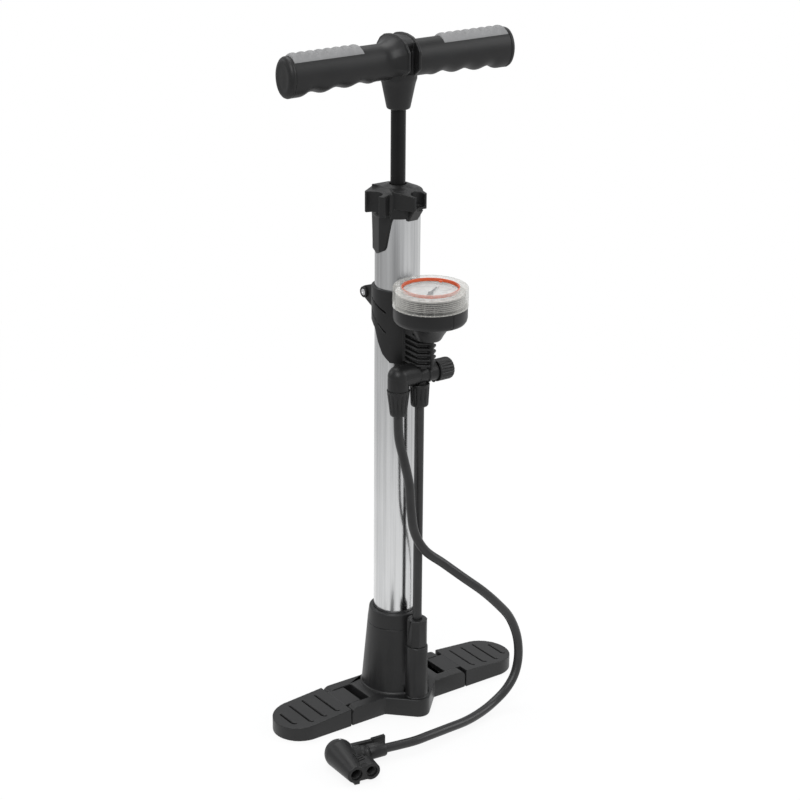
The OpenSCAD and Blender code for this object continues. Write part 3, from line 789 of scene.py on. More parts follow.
def placed(at: Point, axis: str = "Z", turn_deg: float = 0.0) -> Matrix:
    """A matrix that lays a turned solid's axis along Z, X or Y at a place in millimetres.

    Args:
        at: the place.
        axis: Z, X or Y.
        turn_deg: turn about Z after that.

    Returns:
        The matrix.
    """
    lay = {"Z": Matrix(), "X": Matrix.Rotation(math.pi / 2, 4, "Y"),
           "Y": Matrix.Rotation(-math.pi / 2, 4, "X")}
    turn = Matrix.Rotation(math.radians(turn_deg), 4, "Z")
    return Matrix.Translation(Vector(at) * MM) @ turn @ lay[axis]


def ease(value: float) -> float:
    """A smooth step from 0 to 1."""
    held = min(max(value, 0.0), 1.0)
    return held * held * (3.0 - 2.0 * held)


def joined(*meshes: bmesh.types.BMesh) -> bmesh.types.BMesh:
    """Several bmeshes in one.

    Args:
        meshes: the bmeshes, freed afterwards.

    Returns:
        The one that holds them all.
    """
    whole = bmesh.new()
    for part in meshes:
        held = bpy.data.meshes.new("part")
        part.to_mesh(held)
        part.free()
        whole.from_mesh(held)
        bpy.data.meshes.remove(held)
    return whole


# Sub-assemblies
@dataclass
class Studio:
    """Camera, lights, floor and background."""

    place: Point = (-0.9817, -1.3747, 0.9362)
    right: Point = (0.81429, -0.58042, 0.00700)
    up: Point = (0.20318, 0.29630, 0.93325)
    lens_mm: float = 95.2
    sensor_mm: float = 36.0
    lamps: tuple[tuple[str, Point, Point, float, float], ...] = (
        ("key_light", (-1.6, -1.5, 2.2), (0.0, 0.0, 0.3), 1.6, 42.0),
        ("fill_light", (1.9, -1.2, 1.5), (0.0, 0.0, 0.3), 1.4, 20.0),
        ("top_light", (0.2, 0.6, 2.6), (0.0, 0.0, 0.3), 1.8, 35.0),
        ("rim_light", (-1.3, 1.7, 1.3), (0.0, 0.0, 0.4), 1.0, 6.0))
    sky_light: float = 0.45
    sky_shine: float = 0.4
    floor_size: float = 14.0
    floor_grey: float = 0.86
    floor_drop: float = 0.0005
    shadow_share: float = 0.12
    glow_near: float = 1.1
    glow_fall: float = 0.41
    glow_least: float = 0.4
    glow_right: float = 0.46
    glow_behind: float = 0.14
    rear: tuple[float, float] = (-0.58, 0.81)

    def camera(self) -> None:
        """Sets the camera where the photograph was taken from."""
        data = bpy.data.cameras.new("view")
        data.lens = self.lens_mm
        data.sensor_width = self.sensor_mm
        data.clip_end = 100.0
        right = Vector(self.right).normalized()
        up = (Vector(self.up) - right * right.dot(Vector(self.up))).normalized()
        back = right.cross(up)
        turn = Matrix((right, up, back)).transposed().to_4x4()
        obj = bpy.data.objects.new("view", data)
        obj.matrix_world = Matrix.Translation(self.place) @ turn
        bpy.context.scene.collection.objects.link(obj)
        bpy.context.scene.camera = obj

    def lights(self) -> None:
        """Hangs soft boxes and sets the background."""
        for lamp in self.lamps:
            self._box(*lamp)
        world = bpy.data.worlds.new("studio")
        bpy.context.scene.world = world
        tree = ShaderTree(world)
        path = tree.add("ShaderNodeLightPath")
        seen = tree.out(path, "Is Camera Ray").at_least(tree.out(path, "Is Transmission Ray"))
        shown = seen.at_least(tree.out(path, "Is Glossy Ray") * self.sky_shine)
        soft = tree.add("ShaderNodeBackground", None,
                        {"Color": (0.95, 0.97, 1.0, 1.0), "Strength": self.sky_light})
        white = tree.add("ShaderNodeBackground", None, {"Color": WHITE})
        tree.end(tree.blend(shown, soft, white), "ShaderNodeOutputWorld")

    @staticmethod
    def _box(name: str, at: Point, to: Point, size: float, watts: float) -> None:
        """Hangs one soft box.

        Args:
            name: its name.
            at: its place.
            to: the point that it faces.
            size: its side in metres.
            watts: its power.
        """
        data = bpy.data.lights.new(name, "AREA")
        data.shape = "SQUARE"
        data.size = size
        data.energy = watts
        obj = bpy.data.objects.new(name, data)
        obj.location = at
        obj.rotation_euler = (Vector(to) - Vector(at)).to_track_quat("-Z", "Y").to_euler()
        bpy.context.scene.collection.objects.link(obj)

    def floor(self) -> None:
        """Lays the pale floor, which looks white, keeps a faint shadow and shows in reflections."""
        bm = bmesh.new()
        bmesh.ops.create_grid(bm, x_segments=1, y_segments=1, size=self.floor_size / 2)
        mesh = bpy.data.meshes.new("floor")
        bm.to_mesh(mesh)
        bm.free()
        tree = new_tree("studio_floor")
        path = tree.add("ShaderNodeLightPath")
        x, y, _ = tree.places()
        reach = (x * x + y * y).root()
        clean = reach.rise(0.25, 0.9) * self.shadow_share + (1.0 - self.shadow_share)
        matt = tree.add("ShaderNodeBsdfDiffuse", None, {"Color": (*[self.floor_grey] * 3, 1.0)})
        glow = tree.add("ShaderNodeEmission", None, {"Color": WHITE, "Strength": 1.0})
        dark = tree.add("ShaderNodeEmission", None, {"Color": (0.0, 0.0, 0.0, 1.0), "Strength": 1.0})
        mirrored = tree.blend(self._mirrored(x, y, reach), dark, glow)
        shiny = tree.blend(tree.out(path, "Is Glossy Ray"), matt, mirrored)
        tree.end(tree.blend(tree.out(path, "Is Camera Ray") * clean, shiny, glow))
        mesh.materials.append(tree.holder)
        obj = bpy.data.objects.new("floor", mesh)
        obj.location = (0.0, 0.0, -self.floor_drop)
        bpy.context.scene.collection.objects.link(obj)

    def _mirrored(self, x: Sock, y: Sock, reach: Sock) -> Sock:
        """How bright the floor looks in a reflection, by its place round the pump.

        Args:
            x: place to the right of the pump.
            y: place behind the pump.
            reach: distance from the pump.

        Returns:
            The brightness from 0 to 1.
        """
        side = (x * self.right[0] + y * self.right[1]) / (reach + 0.01)
        behind = (x * self.rear[0] + y * self.rear[1]) / (reach + 0.01)
        lit = behind.rise(-0.1, 0.5) * self.glow_behind + side.rise(0.05, 0.65) * self.glow_right
        near = (self.glow_near - reach * self.glow_fall).at_least(self.glow_least)
        return (lit * reach.rise(0.8, 0.35) + near).at_most(1.0)


@dataclass
class Hose:
    """The rubber hose from the hose nut to the sleeve of the valve head."""

    maker: Maker
    diameter: float = 8.0
    sides: int = 20
    steps: int = 6
    route: list[Point] = field(default_factory=lambda: [
        (-22, -33.5, 297.6), (-22, -33.5, 283.6), (-21.5, -34.5, 266), (-19, -38.5, 247),
        (-16.5, -42.5, 226.5), (-16.5, -45.5, 205), (-14.5, -48, 184), (-6, -52, 166), (10.5, -57, 151),
        (28, -62.5, 135), (46.5, -66, 118.5), (63, -67, 101.5), (77, -66.5, 84.5), (85.5, -67, 64.5),
        (87, -68.5, 45), (81.5, -71, 29), (70.5, -73, 17.5), (54, -75.5, 10), (36, -80, 7.5),
        (16.5, -84.5, 7.5), (-5, -87.5, 9), (-25.5, -89.5, 10)])
    on_head: list[Point] = field(default_factory=lambda: [
        (62, 30, 10.0), (47, 30, 9.6), (35, 30, 9.6), (20.2, 30, 9.6)])

    def points(self) -> list[Vector]:
        """The route with the stretch at the head, in metres.

        Returns:
            The points.
        """
        turn = Matrix.Rotation(math.radians(HEAD_TURN_DEG), 4, "Z")
        shift = Matrix.Translation((*HEAD_AT, 0.0))
        ends = [shift @ turn @ Vector(p) for p in self.on_head]
        return [Vector(p) * MM for p in self.route] + [p * MM for p in ends]

    def path(self) -> list[Vector]:
        """A smooth line through the route's points.

        Returns:
            The line's points.
        """
        knots = self.points()
        last = len(knots) - 1
        line = []
        for i in range(last):
            a, b, c, d = knots[max(i - 1, 0)], knots[i], knots[i + 1], knots[min(i + 2, last)]
            for s in range(self.steps):
                t = s / self.steps
                line.append(0.5 * (2 * b + (c - a) * t + (2 * a - 5 * b + 4 * c - d) * t * t
                                   + (3 * b - a - 3 * c + d) * t * t * t))
        line.append(knots[last])
        return line

    def build(self, with_pieces: list[bpy.types.Object]) -> bpy.types.Object:
        """Args:
            with_pieces: the pieces of the valve head; not used.

        Returns:
            The hose.
        """
        line = self.path()
        bm = bmesh.new()
        ring = bmesh.ops.create_circle(bm, cap_ends=False, segments=self.sides,
                                       radius=self.diameter / 2 * MM)["verts"]
        side = Vector((1.0, 0.0, 0.0))
        before = Matrix()
        edges = list({e for v in ring for e in v.link_edges})
        first = edges
        for i, place in enumerate(line):
            along = (line[min(i + 1, len(line) - 1)] - line[max(i - 1, 0)]).normalized()
            side = (side - along * side.dot(along)).normalized()
            here = Matrix((side, along.cross(side), along)).transposed().to_4x4()
            here.translation = place
            if i:
                grown = bmesh.ops.extrude_edge_only(bm, edges=edges)["geom"]
                ring = [g for g in grown if isinstance(g, bmesh.types.BMVert)]
                edges = [g for g in grown if isinstance(g, bmesh.types.BMEdge)]
            bmesh.ops.transform(bm, matrix=here @ before.inverted(), verts=ring)
            before = here
        bmesh.ops.holes_fill(bm, edges=first + edges, sides=self.sides)
        bmesh.ops.recalc_face_normals(bm, faces=bm.faces)
        hose = self.maker.piece("rubber_hose", bm, self.maker.palette.hose, Body.FRAME, Slot.RUBBER,
                                ("hose",))
        length = sum((b - a).length for a, b in zip(line, line[1:]))
        return hose


@dataclass
class Handle:
    """T-handle: oval bar with finger scoops, bell hub with a hose groove, grey pads and end caps."""

    maker: Maker
    grip_z: float = 578.2
    half_w: float = 13.0
    half_h: float = 16.7
    seam_x: float = 106.0
    station_step: float = 0.8
    hub_r: float = 23.2
    hub_half: float = 21.0
    hub_right: float = 10.5
    hub_power: float = 2.1
    rim_width: float = 2.5
    rim_scale: float = 0.94
    groove_half: float = 4.0
    floor_side: float = 14.4
    floor_low: float = 15.0
    floor_top: float = 17.4
    floor_most: float = 19.0
    crown_deep: float = 1.5
    socket_z: float = 540.0
    scoop_from: float = 24.0
    scoop_to: float = 99.0
    scoop_run: float = 9.0
    scoop_pitch: float = 23.2
    scoop_first: float = 41.0
    scoop_depth: float = 3.65
    scoop_fade: float = 1.6
    fade_from: float = 40.0
    fade_run: float = 50.0
    scoop_wave: float = 1.25
    pad_in: float = 39.5
    pad_out: float = 105.0
    pad_y: float = 8.67
    pad_ribs: int = 8
    pad_rows: int = 16
    pad_seat: float = 0.15
    pad_rim: float = 0.35
    pad_rib: float = 1.7
    pad_deep: float = 3.0
    around: int = 96

    def build(self) -> None:
        """Makes the bar, the pads and the end caps."""
        make = self.maker
        black = make.palette.black
        bar = make.piece("handle_bar", joined(self._bar(), self._socket()), black, Body.HANDLE, Slot.BLACK,
                         ("handle_body",))
        make.melted(bar, 0.45, 3)
        for side, name in ((1, "right"), (-1, "left")):
            make.piece(f"{name}_grip_rubber", self._pad(side), make.palette.pad, Body.HANDLE, Slot.PAD,
                       (f"{name}_grip_pad",), RIBBED_DEG)
            make.piece(f"{name}_bar_end", self._end(side), black, Body.HANDLE, Slot.BLACK,
                       (f"{name}_end_cap",), RIBBED_DEG)

    def _scoop(self, x: float) -> float:
        """Depth of the finger scoops at a place along the bar.

        Args:
            x: the place.

        Returns:
            The depth.
        """
        away = abs(x)
        ground = self.scoop_depth - self.scoop_fade * ease((away - self.fade_from) / self.fade_run)
        wave = math.cos(2 * math.pi * (away - self.scoop_first) / self.scoop_pitch)
        swell = self.scoop_wave * ease((away - self.scoop_from) / 10.0)
        return ease((self.scoop_to - away) / self.scoop_run) * (ground + swell * wave)

    def _grip(self, angle: float, x: float) -> float:
        """Radius of the oval bar.

        Args:
            angle: angle from +Y.
            x: place along the bar.

        Returns:
            The radius.
        """
        tall = self.half_h - (self._scoop(x) if math.sin(angle) < 0 else 0.0)
        wide = self.half_w
        return wide * tall / math.hypot(tall * math.cos(angle), wide * math.sin(angle))

    def _flange(self, angle: float) -> float:
        """Radius of the hub's flange.

        Args:
            angle: angle from +Y.

        Returns:
            The radius.
        """
        y = abs(math.cos(angle))
        z = math.sin(angle)
        r = self.hub_r
        corners = [(0.0, r), (5.0, r - 0.2), (12.0, r - 1.6), (18.0, r - 5.2), (r - 0.3, r / 2),
                   (r - 0.3, -3.2), (7.0, -15.6), (0.0, -15.6)]
        for (y0, z0), (y1, z1) in zip(corners, corners[1:]):
            turn = (y1 - y0) * z - (z1 - z0) * y
            if abs(turn) > 1e-9:
                along = (z0 * y - y0 * z) / turn
                if -1e-6 <= along <= 1 + 1e-6:
                    return math.hypot(y0 + along * (y1 - y0), z0 + along * (z1 - z0))
        return r

    def _floor(self, angle: float) -> float:
        """Radius of the hose groove's floor.

        Args:
            angle: angle from +Y.

        Returns:
            The radius.
        """
        y = abs(math.cos(angle))
        z = math.sin(angle)
        below = self.floor_low / max(abs(z), 1e-6) if z < 0 else self.floor_top
        deep = min(self.floor_side / max(y, 1e-6), below, self.floor_most)
        over = ease((z - 0.62) / 0.14)
        return deep * (1 - over) + (self._flange(angle) - self.crown_deep) * over

    def _outline(self, x: float, radius: Callable[[float], float]) -> list[Vector]:
        """An outline of the bar at a place along it.

        Args:
            x: the place.
            radius: radius for an angle.

        Returns:
            The outline's points.
        """
        points = []
        for i in range(self.around):
            angle = 2 * math.pi * i / self.around
            r = radius(angle)
            points.append(Vector((x, r * math.cos(angle), self.grip_z + r * math.sin(angle))))
        return points

    def _half(self, reach: float) -> list[list[Vector]]:
        """Outlines of the left half of the bar, from its end to the groove's floor.

        Args:
            reach: how far the bell of the hub reaches from the middle.

        Returns:
            The outlines.
        """
        outlines = []
        x = -self.seam_x
        step = self.rim_scale
        lip = self.groove_half
        rim = lip + self.rim_width
        while x < -rim - 0.01:
            share = max(0.0, (reach + x) / (reach - rim)) ** self.hub_power
            outlines.append(self._outline(x, lambda t, x=x, k=share: (
                self._grip(t, x) * (1 - k) + self._flange(t) * step * k)))
            x += self.station_step
        for away, scale in ((rim, step), (rim - 0.1, 1.0), (lip + 0.6, 1.0), (lip + 0.05, 0.97)):
            outlines.append(self._outline(-away, lambda t, k=scale: self._flange(t) * k))
        outlines.append(self._outline(-lip, self._floor))
        return outlines

    def _bar(self) -> bmesh.types.BMesh:
        """The oval bar with the bell hub and its groove."""
        right = [[Vector((-p.x, p.y, p.z)) for p in outline] for outline in self._half(self.hub_right)]
        return self.maker.rings(self._half(self.hub_half) + right[::-1])

    def _socket(self) -> bmesh.types.BMesh:
        """The tapered socket that takes the rod.

        Returns:
            The socket.
        """
        z = self.socket_z
        return self.maker.lathe([(0, z), (8.6, z), (9.5, z + 0.5), (9.9, z + 1.4), (13.9, z + 21),
                                 (15.2, z + 25), (15.2, z + 30), (0, z + 30)], 72)

    def _pad(self, side: int) -> bmesh.types.BMesh:
        """A ribbed grip pad.

        Args:
            side: 1 for the right one, -1 for the left one.

        Returns:
            The pad.
        """
        bm = bmesh.new()
        bmesh.ops.create_grid(bm, x_segments=self.pad_ribs * 10, y_segments=self.pad_rows, size=1.0)
        rim = [e for e in bm.edges if e.is_boundary]
        skirt = bmesh.ops.extrude_edge_only(bm, edges=rim)["geom"]
        low = {g for g in skirt if isinstance(g, bmesh.types.BMVert)}
        for vert in bm.verts:
            along = (vert.co.x + 1) / 2
            across = vert.co.y
            x = self.pad_in + (self.pad_out - self.pad_in) * along
            y = self.pad_y * across
            oval = self.half_h * math.sqrt(max(0.0, 1 - (y / (self.half_w + 0.3)) ** 2))
            rib = abs(math.sin(math.pi * self.pad_ribs * along)) ** 0.75
            edge = ease((1 - abs(across)) / 0.16) * ease(along / 0.012) * ease((1 - along) / 0.012)
            crown = self.pad_rib * rib * ease((1 - abs(across)) / 0.55)
            lift = self.pad_seat + self.pad_rim * edge + crown
            drop = self.pad_deep if vert in low else 0.0
            vert.co = Vector((side * x, y, self.grip_z + oval + lift - drop)) * MM
        bmesh.ops.holes_fill(bm, edges=[e for e in bm.edges if e.is_boundary], sides=0)
        bmesh.ops.recalc_face_normals(bm, faces=bm.faces)
        return bm

    def _end(self, side: int) -> bmesh.types.BMesh:
        """A rounded end cap.

        Args:
            side: 1 for the right one, -1 for the left one.

        Returns:
            The cap.
        """
        x = self.seam_x
        stations = [(x + 0.15, 0.5), (x + 0.15, 0.1), (x + 0.5, -0.1), (x + 1.8, -0.1), (x + 3.2, 0.5),
                    (x + 4.3, 1.7), (x + 4.9, 3.3), (x + 5.0, 5.0), (x + 4.75, 6.2), (x + 4.8, 9.0),
                    (x + 4.9, 11.5)]
        outlines = []
        for place, inward in stations:
            points = []
            for i in range(self.around):
                angle = 2 * math.pi * i / self.around
                y = (self.half_w - inward) * math.cos(angle)
                z = (self.half_h - inward) * math.sin(angle)
                points.append(Vector((side * place, y, self.grip_z + z)))
            outlines.append(points)
        return self.maker.rings(outlines)


@dataclass
class Pillar:
    """Barrel, piston rod and cap."""

    maker: Maker
    barrel_r: float = 19.0
    barrel_wall: float = 1.2
    barrel_low: float = 22.0
    barrel_top: float = 468.0
    rod_r: float = 6.25
    rod_low: float = 113.0
    rod_top: float = 575.2
    rod_wall: float = 1.4

    def build(self) -> None:
        """Makes the barrel, the rod and the cap."""
        make = self.maker
        palette = make.palette
        tube = self._tube(self.barrel_r, self.barrel_wall, self.barrel_low, self.barrel_top, 160, 0.2)
        make.piece("barrel_tube", tube, palette.barrel, Body.FRAME, Slot.BARREL, ("barrel",))
        rod = self._tube(self.rod_r, self.rod_wall, self.rod_low, self.rod_top, 64, 0.0)
        make.piece("rod_tube", rod, palette.rod, Body.HANDLE, Slot.ROD, ("piston_rod",))
        make.melted(make.copied("top_cap", palette.black, Body.FRAME, Slot.BLACK), 0.36, 9)

    def _tube(self, r: float, wall: float, low: float, top: float, steps: int,
              round_mm: float) -> bmesh.types.BMesh:
        """A plain tube on the pump's axis.

        Args:
            r: outer radius.
            wall: thickness of its wall.
            low: height of its lower end.
            top: height of its upper end.
            steps: steps of the full turn.
            round_mm: rounding of its rims.

        Returns:
            The tube.
        """
        profile = [(r - wall, low), (r, low), (r, top), (r - wall, top)]
        return self.maker.lathe(profile, steps, round_mm=round_mm)


@dataclass
class Gauge:
    """Round gauge: case, dial with printed scale, needle, clear lens and the orange marker ring."""

    maker: Maker
    at: Point = (-2.5, -50.6, 386.0)
    lens_r: float = 31.3
    window_r: float = 24.2
    window_z: float = 13.4
    dial_z: float = 9.2
    zero_deg: float = 35.0
    sweep_deg: float = 250.0
    bowl_y: float = 1.6
    lens_top: float = 16.5
    pane_thick: float = 1.5
    thread_low: float = 3.3
    thread_pitch: float = 1.6
    thread_count: int = 5
    ring_tall: float = 2.6
    tab_size: Point = (2.8, 3.0, 1.4)
    tab_deg: float = 31.0
    outer_steps: int = 32
    outer_r: float = 22.6
    inner_steps: int = 44
    inner_r: float = 13.2
    unmirrored: tuple[str, ...] = ("orange_ring", "lens_shell", "lens_pane", "lens_foot", "dial_card",
                                   "dial_scale", "thread_band")

    def build(self) -> None:
        """Makes every piece of the gauge."""
        make = self.maker
        palette = make.palette
        r = self.lens_r
        make.piece("gauge_case", self._case(), palette.gloss, Body.FRAME, Slot.BLACK, ("gauge_housing",),
                   TURNED_DEG)
        self._thread()
        foot = make.lathe([(r - 1.6, 0.0), (r + 0.12, 0.0), (r + 0.12, 0.55), (r - 0.1, 0.75),
                           (r - 1.6, 0.75)], 192, self.at)
        make.piece("lens_foot", foot, palette.rim, Body.LENS, Slot.LENS, (), TURNED_DEG)
        self._dial()
        make.softened("needle", palette.print, Body.NEEDLE, Slot.NEEDLE, 0.15)
        make.piece("lens_shell", self._lens(), palette.lens, Body.LENS, Slot.LENS, ("gauge_lens",),
                   TURNED_DEG)
        edge = self.window_r - 0.05
        low = self.window_z - self.pane_thick
        pane = make.lathe([(0, low), (edge, low), (edge, self.window_z), (0, self.window_z)], 96, self.at)
        make.piece("lens_pane", pane, palette.pane, Body.LENS, Slot.LENS, (), TURNED_DEG)
        make.piece("orange_ring", self._ring(), palette.orange, Body.LENS, Slot.ORANGE, ("marker_ring",),
                   TURNED_DEG)
        for name in self.unmirrored:
            bpy.data.objects[name].visible_glossy = False

    def _case(self) -> bmesh.types.BMesh:
        """The case with its split line, its lug and the bowl below it.

        Returns:
            The case.
        """
        make = self.maker
        r = self.lens_r
        x, y, z = self.at
        body = make.lathe([(0, -14.5), (r - 4.3, -14.5), (r - 2.2, -13.7), (r - 1, -12), (r - 0.4, -9.5),
                           (r - 0.4, -0.5), (r - 0.8, -0.2), (r - 2.7, -0.2), (r - 2.7, 1.0), (r - 4.5, 1.0),
                           (r - 4.5, -12), (0, -12)], 128, self.at)
        self._split(body)
        lug = make.lathe([(0, -21), (3.4, -21), (4.5, -19.6), (4.5, -14), (0, -14)], 32,
                         (x + 15.5, y + 4, z))
        bowl = make.lathe([(0, -30.4), (8.8, -30.4), (10, -30), (11, -28.6), (12.6, -25.6), (14.6, -22.6),
                           (17.2, -19), (20, -15.8), (22, -14.4), (0, -14.4)], 96, (x, y + self.bowl_y, z))
        return joined(body, lug, bowl)

    def _thread(self) -> None:
        """The pale band behind the lens's wall, and dark rings of painted shade along the turns of its
        thread.
        """
        make = self.maker
        palette = make.palette
        r = self.lens_r
        band = make.lathe([(r - 4.4, 2.6), (r - 2.6, 2.6), (r - 2.6, 11.6), (r - 3.3, 11.6), (r - 3.3, 8.2),
                           (r - 4.4, 8.2)], 128, self.at)
        make.piece("thread_band", band, palette.thread, Body.FRAME, Slot.LENS, (), TURNED_DEG)
        # Dark rings in the case's black finish paint the shade along the thread's turns.
        profiles = [[(r - 4.4, 0.4), (r - 2.35, 0.4), (r - 2.35, 2.5), (r - 4.4, 2.5)]]
        for i in range(self.thread_count):
            z = self.thread_low + self.thread_pitch * i
            profiles.append([(r - 2.7, z), (r - 2.35, z + 0.1), (r - 2.35, z + 0.7), (r - 2.7, z + 0.8)])
        turns = [make.lathe(profile, 128, self.at) for profile in profiles]
        make.piece("thread_turns", joined(*turns), palette.gloss, Body.FRAME, Slot.BLACK, (),
                   TURNED_DEG)

    def _ring(self) -> bmesh.types.BMesh:
        """The marker ring with its tab.

        Returns:
            The ring.
        """
        r = self.window_r
        z = self.window_z
        top = z + self.ring_tall
        ring = self.maker.lathe([(r - 1.5, z), (r - 0.1, z), (r - 0.1, top), (r - 1.2, top)], 128, self.at,
                                round_mm=0.15)
        tab = self.maker.box(self.tab_size)
        bmesh.ops.bevel(tab, geom=tab.edges[:], offset=0.3 * MM, segments=2, profile=0.5, affect="EDGES",
                        material=-1, clamp_overlap=True)
        inward = Matrix.Translation(Vector((r - 2.4, 0.0, z + self.tab_size[2] / 2)) * MM)
        bmesh.ops.transform(tab, matrix=placed(self.at, "Z", self.tab_deg) @ inward, verts=tab.verts)
        return joined(ring, tab)

    def _split(self, bm: bmesh.types.BMesh) -> None:
        """Presses the moulding's split line into the front of the case.

        Args:
            bm: the case.
        """
        centre = Vector(self.at) * MM
        front = []
        for face in bm.faces:
            away = (face.calc_center_median() - centre) / MM
            outer = math.hypot(away.x, away.y) > self.lens_r - 1.8
            if outer and abs(away.x) < 0.9 and away.y < 0 and -13.0 < away.z < -0.4:
                front.append(face)
        bmesh.ops.inset_region(bm, faces=front, thickness=0.35 * MM, depth=-0.5 * MM)

    def _lens(self) -> bmesh.types.BMesh:
        """The clear lens, open above the dial.

        Returns:
            The lens.
        """
        r = self.lens_r
        top = self.lens_top
        low = self.window_z - self.pane_thick
        return self.maker.lathe([(r - 2.2, 0.1), (r, 0.1), (r, top - 1.6), (r - 0.5, top - 0.5),
                                 (r - 1.5, top), (self.window_r + 0.4, top), (self.window_r, top - 0.4),
                                 (self.window_r, low), (r - 2.2, low)], 192, self.at)

    def _dial(self) -> None:
        """The dial card with its rim, ticks and numbers."""
        make = self.maker
        palette = make.palette
        r = self.lens_r - 3.4
        z = self.dial_z
        card = make.lathe([(1.2, z - 0.8), (r, z - 0.8), (r, z + 1.8), (r - 0.7, z + 1.8), (r - 1.2, z),
                           (1.2, z)], 96, self.at)
        make.piece("dial_card", card, palette.dial, Body.FRAME, Slot.DIAL, ("dial_plate",), TURNED_DEG)
        marks = []
        r = self.outer_r
        for i in range(self.outer_steps + 1):
            tall, wide = (1.8, 0.35) if i % 4 else (3.2, 0.6)
            marks.append(self._tick(i / self.outer_steps, r - tall, r, wide))
        r = self.inner_r
        for i in range(self.inner_steps + 1):
            tall, wide = (1.1, 0.25) if i % 4 else (1.9, 0.4)
            marks.append(self._tick(i / self.inner_steps, r, r + tall, wide))
        for i in range(9):
            marks.append(self._number(str(20 * i), i / 8, 17.2, 2.9))
        for i in range(0, 12, 2):
            marks.append(self._number(str(i), i / 11, 11.2, 2.2))
        make.piece("dial_scale", joined(*marks), palette.print, Body.FRAME, Slot.NEEDLE)

    def _spot(self, share: float) -> Matrix:
        """A matrix that turns +X to a share of the scale's sweep, on the dial.

        Args:
            share: 0 at zero, 1 at full scale.

        Returns:
            The matrix.
        """
        angle = math.radians(self.zero_deg - self.sweep_deg * share)
        lift = Vector((self.at[0], self.at[1], self.at[2] + self.dial_z + 0.03)) * MM
        return Matrix.Translation(lift) @ Matrix.Rotation(angle, 4, "Z")

    def _tick(self, share: float, inner: float, outer: float, width: float) -> bmesh.types.BMesh:
        """A printed line of the scale.

        Args:
            share: place on the scale.
            inner: its inner radius.
            outer: its outer radius.
            width: its width.

        Returns:
            The line.
        """
        bm = bmesh.new()
        bmesh.ops.create_grid(bm, x_segments=1, y_segments=1, size=0.5)
        bmesh.ops.scale(bm, vec=((outer - inner) * MM, width * MM, 1.0), verts=bm.verts)
        bmesh.ops.translate(bm, vec=((inner + outer) / 2 * MM, 0, 0), verts=bm.verts)
        bmesh.ops.transform(bm, matrix=self._spot(share), verts=bm.verts)
        return bm

    def _number(self, text: str, share: float, radius: float, height: float) -> bmesh.types.BMesh:
        """A printed number of the scale, read from the handle's side.

        Args:
            text: the number.
            share: place on the scale.
            radius: radius of its middle.
            height: height of its figures.

        Returns:
            The number.
        """
        curve = bpy.data.curves.new("number", "FONT")
        curve.body = text
        curve.size = height * MM * 1.35
        curve.align_x = "CENTER"
        curve.align_y = "CENTER"
        holder = bpy.data.objects.new("number", curve)
        bpy.context.scene.collection.objects.link(holder)
        graph = bpy.context.evaluated_depsgraph_get()
        mesh = bpy.data.meshes.new_from_object(holder.evaluated_get(graph))
        bm = bmesh.new()
        bm.from_mesh(mesh)
        bpy.data.objects.remove(holder)
        bpy.data.curves.remove(curve)
        bpy.data.meshes.remove(mesh)
        spot = Matrix.Translation(self._spot(share) @ Vector((radius * MM, 0, 0)))
        bmesh.ops.transform(bm, matrix=spot @ Matrix.Rotation(math.pi, 4, "Z"), verts=bm.verts)
        return bm


@dataclass(frozen=True)
class NutSize:
    """Sizes of a tapered nut: its axis, its ends, its radii, its flutes and its bore."""

    x: float
    top: float
    low: float
    r_top: float
    r_low: float
    flutes: int
    bore: float


